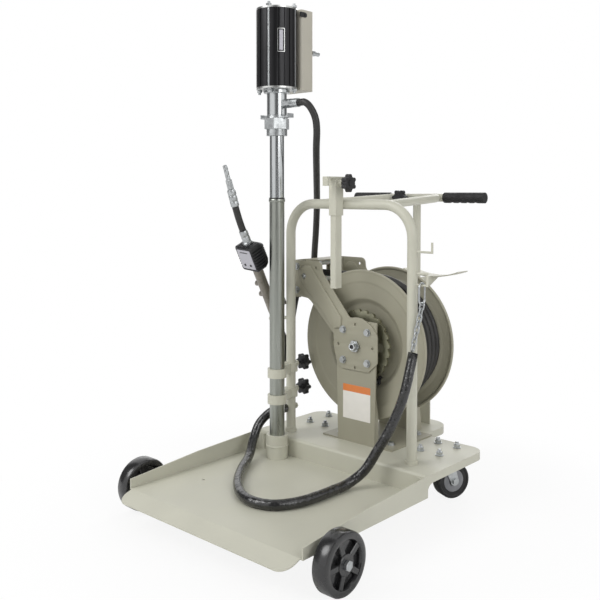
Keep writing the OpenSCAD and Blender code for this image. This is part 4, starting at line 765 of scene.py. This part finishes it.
class CART_OT_wound_hose(bpy.types.Operator):
    """Turns of hose on the reel, and the stretch that leads out through the rollers"""
    bl_idname = "cart.wound_hose"
    bl_label = "Hose on the reel"

    turns = 5
    steps_per_turn = 64
    # Past its ends the outer layer tucks in under itself, as a wound hose does at a flange
    tuck_steps = 16
    pitch = 20.6 * MM
    # The inner layer lies this many hose radii below the outer one
    layer = 1.75
    inner_sides = 12
    # Core under the layers: its bore in millimetres, and its share of the winding's width
    core_bore = 91
    core_share = 0.86
    core_steps = 64
    # The hose leaves the winding after this many degrees, and then runs straight
    lead_turn = 50
    lead_steps = 24
    run_steps = 12

    def execute(self, context):
        s = sizes()
        low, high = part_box("wound_hose")
        centre = (low + high) / 2
        outer_r = (high.z - low.z) / 2 - s.hose_r
        inner_r = outer_r - self.layer * s.hose_r
        last = self.turns * self.steps_per_turn
        outer = []
        for i in range(-self.tuck_steps, last + self.tuck_steps + 1):
            beyond = max(0, -i, i - last) / self.tuck_steps
            r = outer_r - self.layer * s.hose_r * (3 - 2 * beyond) * beyond ** 2
            along = min(max(i, 0), last) / self.steps_per_turn - self.turns / 2
            outer.append(self.wound(centre, r, along, i, -1))
        inner = [self.wound(centre, inner_r, i / self.steps_per_turn - (self.turns - 1) / 2, i, 1)
            for i in range((self.turns - 1) * self.steps_per_turn + 1)]
        turns = tube(outer, s.hose_r, s.hose_sides)
        under = tube(inner, s.hose_r, self.inner_sides)
        half = self.turns * self.pitch / 2 * self.core_share / MM
        bore, rim = self.core_bore, inner_r / MM
        core = turned([(bore, -half), (rim, -half), (rim, half), (bore, half), (bore, -half)],
            centre, BACK, self.core_steps)
        settle(turns, "hose_turns", "reel", "hose_rubber", ["wound_hose"])
        settle(under, "hose_turns_inner", "reel", "hose_rubber")
        settle(core, "hose_core", "reel", "hose_rubber")
        self.lead(centre)
        return {"FINISHED"}

    def wound(self, centre, r, along, step, hand):
        """Point of a winding: turns along the reel, step round it, and 1 or -1 for its hand."""
        a = 2 * math.pi * step / self.steps_per_turn
        return centre + Vector((r * math.cos(a), self.pitch * along, hand * r * math.sin(a)))

    def lead(self, centre):
        """Hose that leaves the winding in an arc and runs out level."""
        s = sizes()
        low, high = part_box("lead_hose")
        top = high.z - s.hose_r
        r = top - centre.z
        path = []
        for i in range(self.lead_steps + 1):
            a = math.radians(90 - self.lead_turn * (1 - i / self.lead_steps))
            path.append(Vector((r * math.cos(a), centre.y, centre.z + r * math.sin(a))))
        path += [Vector((low.x * (i + 1) / self.run_steps, centre.y, top))
            for i in range(self.run_steps)]
        piece = tube(path, s.hose_r, s.hose_sides)
        settle(piece, "lead_hose_rubber", "cart", "hose_rubber", ["lead_hose"])


class CART_OT_painted(bpy.types.Operator):
    """Painted sheet and tube: tray, hoop, handle, clamp, holders, reel and guide"""
    bl_idname = "cart.painted"
    bl_label = "Painted steel"

    # The tray's front lip bends by less than a rounded edge does, and keeps its crease
    tray_smooth = 10
    cart_nodes = ["hoop_frame", "handle_loop", "rear_post", "hose_saddle", "clamp_sleeve",
        "clamp_bar", "pump_cup", "gun_holder", "pump_clamps"]
    reel_nodes = ["reel_stand", "guide_bridge"]
    # Rounding of the motor's folded valve cover
    cover_round = 1.6 * MM

    def execute(self, context):
        softened("tray", "painted_steel", sizes().sheet_round, smooth=self.tray_smooth)
        dress(self.cart_nodes, "painted_steel", sizes().sheet_round)
        dress(self.reel_nodes, "reel_paint", sizes().sheet_round)
        softened("valve_cover", "cover_paint", self.cover_round)
        return {"FINISHED"}


class CART_OT_guide_arms(bpy.types.Operator):
    """Pressed arms that carry the roller guide, with their raised bands and holes"""
    bl_idname = "cart.guide_arms"
    bl_label = "Guide arms"

    # Outline in millimetres across and up, with the radius of each corner
    outline = [(-239, 654, 10), (-128, 654, 16), (-124, 622, 20), (-20, 499, 12), (0, 503, 10),
        (24, 502, 20), (58, 484, 30), (79, 458, 16), (79, 380, 8), (47, 350, 8), (-50, 350, 10),
        (-70, 372, 12), (-79, 410, 20), (-79, 446, 10), (-168, 533, 4), (-180, 542, 25),
        (-215, 545, 12), (-239, 541, 18)]
    band = [(-194, 642, 6), (-168, 640, 8), (-48, 497, 8), (-50, 468, 8), (-76, 462, 8),
        (-212, 598, 10), (-214, 622, 8)]
    # Holes in millimetres: the shaft's, those round it, and those of the guide's head
    hub_up = 420
    shaft_r = 12.3
    shaft_steps = 32
    bolt_ring = 62
    bolt_r = 5.3
    spare_r = 4.2
    head_bolts = [(-225, 635), (-225, 564)]
    extra_hole = (-149, 635)
    # The sheet's thickness and edge, and the rise and rounding of its pressed band
    thick = 4 * MM
    edge = 0.8 * MM
    band_up = 6 * MM
    band_edge = 4.6 * MM
    # Low round head with a socket, on the raised band: radius and height in millimetres
    extra_bolt = (-192, 608.5)
    bolt_head = [(0, 1.2), (2.6, 1.2), (3, 4.2), (5, 4.0), (6.2, 2.6), (6.6, 0), (8.4, 0), (8.4, -1),
        (0, -1)]
    bolt_steps = 24

    def execute(self, context):
        diagonal = self.bolt_ring / math.sqrt(2)
        holes = [ring_of(0, self.hub_up, self.shaft_r, self.shaft_steps),
            ring_of(*self.extra_hole, self.spare_r)]
        for side in (-1, 1):
            holes.append(ring_of(side * self.bolt_ring, self.hub_up, self.spare_r))
            holes.append(ring_of(0, self.hub_up + side * self.bolt_ring, self.spare_r))
            for up in (-1, 1):
                holes.append(ring_of(side * diagonal, self.hub_up + up * diagonal, self.bolt_r))
        holes += [ring_of(*at, self.bolt_r) for at in self.head_bolts]
        for node in ("guide_arm_front", "guide_arm_rear"):
            low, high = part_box(node)
            front = node == "guide_arm_front"
            face = high.y - self.thick if front else low.y
            arm = plate([rounded(self.outline), *holes], face, self.thick, self.edge)
            raised = face - self.band_up if front else face + self.thick - self.band_edge
            band = plate([rounded(self.band)], raised, self.band_up + self.band_edge,
                self.band_edge)
            settle(joined([arm, band]), node + "_pressed", body_of(node), "reel_paint", [node])
            top = face - self.band_up if front else face + self.thick + self.band_up
            across, up = self.extra_bolt
            head = turned(self.bolt_head, Vector((across * MM, top, up * MM)),
                FRONT if front else BACK, self.bolt_steps)
            settle(head, node + "_bolt", body_of(node), "zinc_steel")
        return {"FINISHED"}


class CART_OT_spool(bpy.types.Operator):
    """Spool of the reel: two spun and dished flanges with rolled rims, on the drum"""
    bl_idname = "cart.spool"
    bl_label = "Reel spool"

    # Sides of the front flange in millimetres: radius, and distance from the reel's middle
    outer = [(12.1, 75), (34, 75), (34, 50), (38, 48), (113, 48), (118, 48.6), (122, 51), (129, 59),
        (132, 61.4), (136, 62.6), (176, 67.5), (179, 68.2), (181.5, 69.6), (185, 70.1), (206, 70.8)]
    inner = [(206, 68.6), (185, 68), (180, 67), (177, 65.5), (136, 60.6), (131, 59), (127.5, 57.2),
        (120.5, 49.6), (117, 46.6), (90, 46)]
    # Rolled rim: its bead's middle and radius, and the angles of the bead's points in degrees
    rim_r = 212.6
    rim_at = 67.8
    bead_r = 4.2
    bead_from = 135
    bead_step = 22.5
    bead_points = 12
    steps = 128

    def execute(self, context):
        angles = [math.radians(self.bead_from - self.bead_step * i) for i in range(self.bead_points)]
        bead = [(self.rim_r + self.bead_r * math.cos(a), self.rim_at + self.bead_r * math.sin(a))
            for a in angles]
        half = [*self.outer, *bead, *self.inner]
        mirrored = [(r, -s) for r, s in reversed(half)]
        spool = turned([*half, *mirrored, half[0]], middle("reel_spool"), BACK, self.steps)
        settle(spool, "spun_spool", "reel", "reel_paint", ["reel_spool"])
        return {"FINISHED"}


class CART_OT_labels(bpy.types.Operator):
    """Bare films and plates: the pedestal's label, and the plate on the air motor"""
    bl_idname = "cart.labels"
    bl_label = "Bare labels"

    # Label in millimetres: its edges, and the lower edge of its band
    left, right, low, high, band_low = -47, 52, 207, 306, 286
    corner = 0.6
    corner_steps = 3
    # The pedestal's face, the film's thickness, and the depth to which it is let in
    pedestal = 86 * MM
    film = 0.35 * MM
    sunk = 0.1 * MM
    # Plate: the place of its middle, in degrees round the motor and millimetres above its centre
    facing = -34
    plate_up = 18
    plate_sunk = 1
    columns = 8
    # Each part's width, height and how far it stands out, in millimetres, its finish and its slot
    parts = (("motor_plate_border", 21, 66, 0.5, "cap_aluminium", "cap_aluminium"),
        ("motor_plate_field", 18, 63, 0.7, "cylinder_black", "cylinder_black"),
        ("motor_plate_panel", 10, 56, 0.9, "meter_face", "cap_aluminium"))
    # The columns fold by more than this many degrees, so they stay flat
    flat = 0.5

    def execute(self, context):
        for name, low, high, finish in (("pedestal_label", self.low, self.band_low, "label_film"),
                ("pedestal_label_band", self.band_low, self.high, "band_film")):
            outline = oblong(self.left, self.right, low, high, self.corner, self.corner_steps)
            piece = plate([outline], self.pedestal - self.film, self.film + self.sunk, self.sunk)
            settle(piece, name, "cart", finish)
        self.nameplate()
        return {"FINISHED"}

    def nameplate(self):
        """Small etched plate, bare, bent round the motor's cylinder with a bright border."""
        low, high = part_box("motor_cylinder")
        centre = (low + high) / 2
        radius = (high.x - low.x) / 2
        for name, wide, tall, lift, finish, slot in self.parts:
            back, front = radius - self.plate_sunk * MM, radius + lift * MM
            bottom, top = [centre.z + (self.plate_up + z) * MM for z in (-tall / 2, tall / 2)]
            rings = []
            for i in range(self.columns + 1):
                a = math.radians(self.facing) + wide * MM * (i / self.columns - 0.5) / radius
                rings.append([(centre.x + r * math.cos(a), centre.y + r * math.sin(a), z)
                    for r, z in ((back, bottom), (front, bottom), (front, top), (back, top))])
            settle(lofted(rings, self.flat), name, "cart", finish)


class CART_OT_gun(bpy.types.Operator):
    """Ribbed meter housing with its face, and the outlet: ferrules, flexible piece and tip"""
    bl_idname = "cart.gun"
    bl_label = "Meter and outlet"

    # The same places as the solids have, in millimetres and degrees
    at = (-263, 52, 435)
    lean = 27
    meter_turn = -7
    meter_from = 229
    meter_wide, meter_long = 76, 80
    front, back = -24, 32
    bend_from, bend_r, bend = 353, 551.5, 8
    bend_steps = 12
    # Teeth of the housing: their least width, their depth, and a groove's share of a step
    tooth, tooth_in, groove_share = 9.2, 4.6, 0.45
    # Sections of the housing: share of its outline, and share of its depth from the front
    sections = ((0.93, 0), (1, 0.045), (1, 0.6), (0.9, 0.8), (0.66, 1))
    # What lies on the face: width, lower and upper edge, shift, height, corner and finish
    face_parts = (("meter_film", 60, -31, 31, 0, 1.4, 3, "meter_face"),
        ("meter_line", 36, 21.5, 24, 0, 1.9, 1, "knob_black"),
        ("meter_button_left", 8, -22, -15, -13, 2.6, 3, "knob_black"),
        ("meter_button_right", 8, -22, -15, 13, 2.6, 3, "knob_black"))
    corner_steps = 4
    face_sunk, face_edge, face_edge_share = 0.5, 0.4, 0.98
    # Outlet's turned pieces: radius and height, which starts at the crimp's end for the tip
    ferrule = [(0, 0), (15, 0), (15, 6), (13.5, 8), (12.5, 9), (12.5, 24), (11.8, 26), (12.5, 28),
        (12.3, 42), (11.2, 44), (0, 44)]
    crimp = [(0, 0), (11.6, 0), (12, 1), (12, 14), (11.3, 15), (12, 16), (12, 32), (11.3, 33),
        (12, 34), (12, 46), (9.5, 51), (0, 51)]
    tip = [(0, 27), (6.5, 27), (6.5, 40), (5.9, 41.5), (6.5, 43), (6.5, 56), (5.9, 57.5), (6.5, 59),
        (6.3, 70), (5.6, 71), (3.25, 71), (3.25, 52), (0, 52)]
    ferrule_steps, tip_steps = 40, 32
    flexible_r = 10 * MM
    flexible_sides = 24
    # Knurled sleeve: radius, length, teeth, their depth and the chamfer at its ends
    knurl_r, knurl_long, knurl_teeth, knurl_in, knurl_edge = 9, 28, 22, 0.6, 1.2

    def execute(self, context):
        self.housing()
        self.face()
        self.outlet()
        return {"FINISHED"}

    def gun(self, x, y, along, turn=0):
        """A place in the gun's own frame, along its axis, as a point of the cart."""
        local = Matrix.Rotation(math.radians(turn), 3, "Z") @ Vector((x, y, along))
        return (Vector(self.at) + Matrix.Rotation(math.radians(self.lean), 3, "X") @ local) * MM

    def toothed(self, wide, tall):
        """Outline of the finned housing: square teeth along its four sides."""
        outline = []
        for side in range(4):
            span, off = (wide, tall / 2) if side % 2 == 0 else (tall, wide / 2)
            count = round((span - 2 * self.tooth) / self.tooth)
            step = (span - 2 * self.tooth) / count
            groove, deep = step * self.groove_share, self.tooth_in - off
            turn = Matrix.Rotation(math.radians(90 * side), 2)
            run = [((self.tooth - span) / 2, -off)]
            for i in range(count):
                a = self.tooth - span / 2 + i * step
                run += [(a, -off), (a, deep), (a + groove, deep), (a + groove, -off)]
            run.append(((span - self.tooth) / 2, -off))
            outline += [turn @ Vector(point) for point in run]
        return outline

    def housing(self):
        """Finned housing that narrows behind."""
        middle_s = self.meter_from + self.meter_long / 2
        outline = self.toothed(self.meter_wide, self.meter_long)
        deep = self.back - self.front
        rings = [[self.gun(x * share, self.front + deep * depth, middle_s + z * share,
            self.meter_turn) for x, z in outline] for share, depth in self.sections]
        settle(lofted(rings), "meter_housing", body_of("meter_body"), "knob_black",
            ["meter_body"])

    def face(self):
        """Bare printed face with a plain line and two buttons."""
        middle_s = self.meter_from + self.meter_long / 2
        for name, wide, low, high, shift, lift, corner, finish in self.face_parts:
            outline = oblong(-wide / 2, wide / 2, low, high, corner, self.corner_steps)
            rows = ((1, self.face_sunk), (1, self.face_edge - lift), (self.face_edge_share, -lift))
            rings = [[self.gun(x * share + shift, self.front + y, middle_s + z, self.meter_turn)
                for x, z in outline] for share, y in rows]
            settle(lofted(rings), name, body_of("meter_body"), finish)

    def knurled(self, at, towards):
        """Knurled sleeve with chamfered ends."""
        turn = towards.to_track_quat("Z", "Y").to_matrix()
        edge, long = self.knurl_edge, self.knurl_long
        rings = []
        for up, less in ((0, edge), (edge, 0), (long - edge, 0), (long, edge)):
            ring = []
            for i in range(2 * self.knurl_teeth):
                a = math.pi * i / self.knurl_teeth
                r = self.knurl_r - less - self.knurl_in * (i % 2)
                ring.append(at + turn @ Vector((r * math.cos(a), r * math.sin(a), up)) * MM)
            rings.append(ring)
        return lofted(rings)

    def outlet(self):
        """Ferrule, flexible piece, crimp, knurled sleeve and tip, one after the other."""
        body = body_of("gun_nozzle")
        axis = self.gun(0, 0, 1) - self.gun(0, 0, 0)
        start = self.gun(0, 0, self.meter_from + self.meter_long)
        ferrule = turned(self.ferrule, start, axis, self.ferrule_steps)
        settle(ferrule, "outlet_ferrule", body, "zinc_steel", ["gun_nozzle"])
        angles = [math.radians(self.bend * i / self.bend_steps) for i in range(self.bend_steps + 1)]
        path = [self.gun(0, self.bend_r * (1 - math.cos(a)), self.bend_from + self.bend_r
            * math.sin(a)) for a in angles]
        flexible = tube(path, self.flexible_r, self.flexible_sides)
        settle(flexible, "outlet_flexible", body, "hose_rubber")
        lean = math.radians(self.lean - self.bend)
        towards = Vector((0, -math.sin(lean), math.cos(lean)))
        crimp = turned(self.crimp, path[-1], towards, self.ferrule_steps)
        settle(crimp, "outlet_crimp", body, "zinc_steel")
        beyond = path[-1] + towards * self.crimp[-1][1] * MM
        settle(self.knurled(beyond, towards), "outlet_knurl", body, "zinc_steel")
        tip = turned(self.tip, beyond, towards, self.tip_steps)
        settle(tip, "outlet_tip", body, "zinc_steel")


class CART_OT_metal(bpy.types.Operator):
    """Bare metal, the ring at the tubes' joint, the shaft's end, deck nuts and the cover's strap"""
    bl_idname = "cart.metal"
    bl_label = "Bare metal"

    zinc_nodes = ["axle_mounts", "caster_plates", "caster_fork_left", "caster_fork_right",
        "bung_adaptor", "motor_tie_rods", "air_inlet", "outlet_elbow", "reel_shaft", "reel_swivel",
        "reel_fasteners", "pump_piston"]
    small_nodes = ["drum_chain", "carabiner", "carabiner_gate"]
    cast_round = 1.2 * MM
    # Turned pieces in millimetres: radius and height; for the joint, radius beyond the tube's
    joint_ring = [(0.1, -10), (0.9, -10), (2.2, -8.6), (2.8, -6), (2.6, -2), (1.8, -0.6),
        (0.1, -0.3), (0.1, -10)]
    joint_seal = [(0.1, 0), (1.8, 0), (2.1, 1.2), (1.8, 2.8), (0.1, 3.2), (0.1, 0)]
    joint_steps = 64
    end_ring = [(6, -1), (6, 2.2), (7, 3), (10, 3), (11.3, 1.8), (11.3, -1), (6, -1)]
    # Floor of the bore: a shallow black disc, painted shade that stands for the depth of the hollow
    # shaft
    painted_bore_shade = [(0, -1), (6, -1), (6, 0.6), (4, 0.2), (0, 0.2)]
    washer = [(0, 0.2), (11.3, 0.2), (11.6, 1), (11.3, 2.3), (0, 2.3)]
    nut = [(0, 2), (9.6, 2), (9.8, 2.6), (9.8, 9.4), (8.4, 10.6), (0, 10.6)]
    thread_from, thread_step, thread_points = 10.4, 0.8, 9
    thread_r, thread_in = 5.2, 0.4
    thread_end = [(4.2, 17.6), (0, 17.6)]
    washer_steps, nut_steps, thread_steps = 32, 6, 16
    # Places of the casters' studs on the deck, in millimetres from its middle and apart
    stud_middle = (206, 200)
    stud_apart = (62, 90)
    deck_top = 140
    # Strap: corners from the cover's near top edge with their radii, and its steps outwards
    strap = [(-7, -22, 2), (22, -22, 6.9), (22, -8, 6.9), (-7, -8, 2)]
    strap_out = (-0.1, 2, 2.4)
    screw_at = (14, -15)
    screw = [(0, -0.2), (4.2, -0.2), (4.2, 1.2), (3.4, 2.2), (1.6, 2.5), (1.4, 1.2), (0, 1.2)]
    screw_steps = 24

    def execute(self, context):
        s = sizes()
        dress(self.zinc_nodes, "zinc_steel", s.part_round)
        for node in self.small_nodes:
            NODES[node].data.materials.clear()
            NODES[node].data.materials.append(FINISHES["zinc_steel"])
        dress(["suction_tube", "pump_neck"], "bright_steel", s.part_round)
        softened("lower_tube", "galvanised", s.part_round)
        softened("ratchet_gear", "gear_zinc", s.part_round)
        self.tube_joint()
        self.shaft_end()
        self.deck_nuts()
        self.cover_strap()
        softened("motor_caps", "cap_aluminium", s.part_round)
        softened("motor_cylinder", "cylinder_black", s.part_round)
        dress(["gun_body", "gun_trigger"], "gun_casting", self.cast_round)
        return {"FINISHED"}

    def tube_joint(self):
        """Rolled ring on the lower tube's top end, under a black seal."""
        low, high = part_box("suction_tube")
        centre = (low + high) / 2
        centre.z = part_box("lower_tube")[1].z
        r = (high.x - low.x) / 2 / MM
        ring = turned([(r + out, up) for out, up in self.joint_ring], centre, UP, self.joint_steps)
        settle(ring, "tube_joint_ring", "cart", "galvanised")
        seal = turned([(r + out, up) for out, up in self.joint_seal], centre, UP, self.joint_steps)
        settle(seal, "tube_joint_seal", "cart", "knob_black")

    def shaft_end(self):
        """Bored end of the reel's shaft: a bright chamfered ring round a black disc of painted shade
        in the bore.
        """
        end = middle("reel_spool")
        end.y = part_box("reel_shaft")[0].y
        settle(turned(self.end_ring, end, FRONT), "shaft_end_ring", "cart", "bright_steel")
        # The black disc in the bore is painted shade, standing for the depth of the hole
        settle(turned(self.painted_bore_shade, end, FRONT), "shaft_bore_painted_shade", "cart", "knob_black")

    def deck_nuts(self):
        """Tall nuts on washers, with the threaded ends of the casters' studs above them."""
        thread = [(0, self.thread_from), *[(self.thread_r - self.thread_in * (i % 2),
            self.thread_from + self.thread_step * i) for i in range(self.thread_points)],
            *self.thread_end]
        shapes = ((self.washer, self.washer_steps), (self.nut, self.nut_steps),
            (thread, self.thread_steps))
        parts = []
        for side, across, along in product((-1, 1), (-0.5, 0.5), (-0.5, 0.5)):
            at = Vector((side * self.stud_middle[0] + across * self.stud_apart[0],
                self.stud_middle[1] + along * self.stud_apart[1], self.deck_top)) * MM
            parts += [turned(outline, at, UP, steps) for outline, steps in shapes]
        settle(joined(parts), "caster_nuts", "cart", "zinc_steel")

    def cover_strap(self):
        """Black strap from the motor to the side of the valve cover, with its screw."""
        low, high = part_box("valve_cover")
        side, near, top = high.x / MM, low.y / MM, high.z / MM
        outline = rounded([(near + y, top + z, r) for y, z, r in self.strap])
        rings = [[Vector((side + out, y, z)) * MM for y, z in outline] for out in self.strap_out]
        body = body_of("valve_cover")
        settle(lofted(rings), "cover_strap", body, "knob_black")
        at = Vector((side + self.strap_out[-1], near + self.screw_at[0], top + self.screw_at[1]))
        screw = turned(self.screw, at * MM, RIGHT, self.screw_steps)
        settle(screw, "cover_strap_screw", body, "knob_black")


class CART_OT_mouldings(bpy.types.Operator):
    """Front wheels, caster wheels with their cores, star knobs, pawl, grips and rollers"""
    bl_idname = "cart.mouldings"
    bl_label = "Plastic and rubber"

    # Half of a front wheel in millimetres: radius, and distance from its middle
    tread = [(8.1, 20.5), (23, 20.5), (24, 19.5), (25, 9), (49, 8), (51.5, 17), (53.5, 19.6),
        (58, 20.5), (64, 20.3), (68, 18.6), (70, 15)]
    wheel_steps = 96
    # Ribs: their number, the first one's turn, half width, foot, top, chamfer and reach
    ribs = 5
    rib_turn = 0.25
    rib_wide = 7
    rib_foot, rib_top = 7, 18.4
    rib_edge = 1.4
    rib_from, rib_to = 22, 52
    # Core on a caster wheel in millimetres, and the casters' turn at rest in degrees
    core = [(14.2, 14.6), (14.2, 16.4), (29, 16.2), (31, 15.6), (31.5, 14.6), (14.2, 14.6)]
    core_steps = 64
    caster_turn = -25
    casters = ["caster_wheel_left", "caster_wheel_right"]
    knobs = ["handle_knob", "clamp_knob", "pump_knob_upper", "pump_knob_lower", "reel_pawl"]
    rollers = ["roller_top", "roller_bottom", "roller_front", "roller_rear"]

    def execute(self, context):
        s = sizes()
        self.front_wheels()
        self.caster_cores()
        dress(self.casters, "caster_black", s.part_round)
        dress(self.knobs, "knob_black", s.mould_round)
        dress(["hand_grips"], "grip_rubber", s.mould_round)
        dress(self.rollers, "roller_white", s.part_round)
        return {"FINISHED"}

    def front_wheels(self):
        """Gloss moulded wheels with five ribs between hub and rim on both sides."""
        outline = [*self.tread, *[(r, -x) for r, x in reversed(self.tread)], self.tread[0]]
        wide, foot, top, edge = self.rib_wide, self.rib_foot, self.rib_top, self.rib_edge
        section = [(-wide, foot), (wide, foot), (wide, top - edge), (wide - edge, top),
            (edge - wide, top), (-wide, top - edge)]
        for node in ("front_wheel_left", "front_wheel_right"):
            centre = middle(node)
            parts = [turned(outline, centre, RIGHT, self.wheel_steps)]
            for side, i in product((-1, 1), range(self.ribs)):
                turn = Matrix.Rotation(2 * math.pi * (i + self.rib_turn) / self.ribs, 3, "X")
                parts.append(lofted([[centre + turn @ Vector((side * high, across, reach)) * MM
                    for across, high in section] for reach in (self.rib_from, self.rib_to)]))
            settle(joined(parts), node + "_moulded", body_of(node), "wheel_black", [node])

    def caster_cores(self):
        """Grey core that shows on both sides of each caster wheel."""
        axis = Matrix.Rotation(math.radians(self.caster_turn), 3, "Z") @ Vector(RIGHT)
        for node, side in product(self.casters, (-1, 1)):
            disc = turned(self.core, middle(node), axis * side, self.core_steps)
            settle(disc, "%s_core_%d" % (node, side > 0), body_of(node), "core_grey")


class CART_PT_panel(bpy.types.Panel):
    """Sizes, colours and pieces of the cart"""
    bl_idname = "CART_PT_panel"
    bl_label = "Oil pump cart"
    bl_space_type = "VIEW_3D"
    bl_region_type = "UI"
    bl_category = "Pump cart"

    def draw(self, context):
        for group in (sizes(), colours()):
            box = self.layout.box()
            for key in group.__annotations__:
                box.prop(group, key)
        for operator in OPERATORS:
            self.layout.operator(operator.bl_idname)


OPERATORS = (CART_OT_stage, CART_OT_cords, CART_OT_wound_hose, CART_OT_painted,
    CART_OT_guide_arms, CART_OT_spool, CART_OT_labels, CART_OT_gun, CART_OT_metal,
    CART_OT_mouldings)
CLASSES = (CartColours, CartSizes, *OPERATORS, CART_PT_panel)


def register():
    for made in CLASSES:
        bpy.utils.register_class(made)
    bpy.types.Scene.cart_colours = PointerProperty(type=CartColours)
    bpy.types.Scene.cart_sizes = PointerProperty(type=CartSizes)


def unregister():
    del bpy.types.Scene.cart_colours
    del bpy.types.Scene.cart_sizes
    for made in reversed(CLASSES):
        bpy.utils.unregister_class(made)


def main():
    register()
    make_finishes()
    deselect()
    bpy.ops.cart.stage()
    bpy.ops.cart.cords()
    bpy.ops.cart.wound_hose()
    bpy.ops.cart.painted()
    bpy.ops.cart.guide_arms()
    bpy.ops.cart.spool()
    bpy.ops.cart.labels()
    bpy.ops.cart.gun()
    bpy.ops.cart.metal()
    bpy.ops.cart.mouldings()


if __name__ == "__main__":
    main()
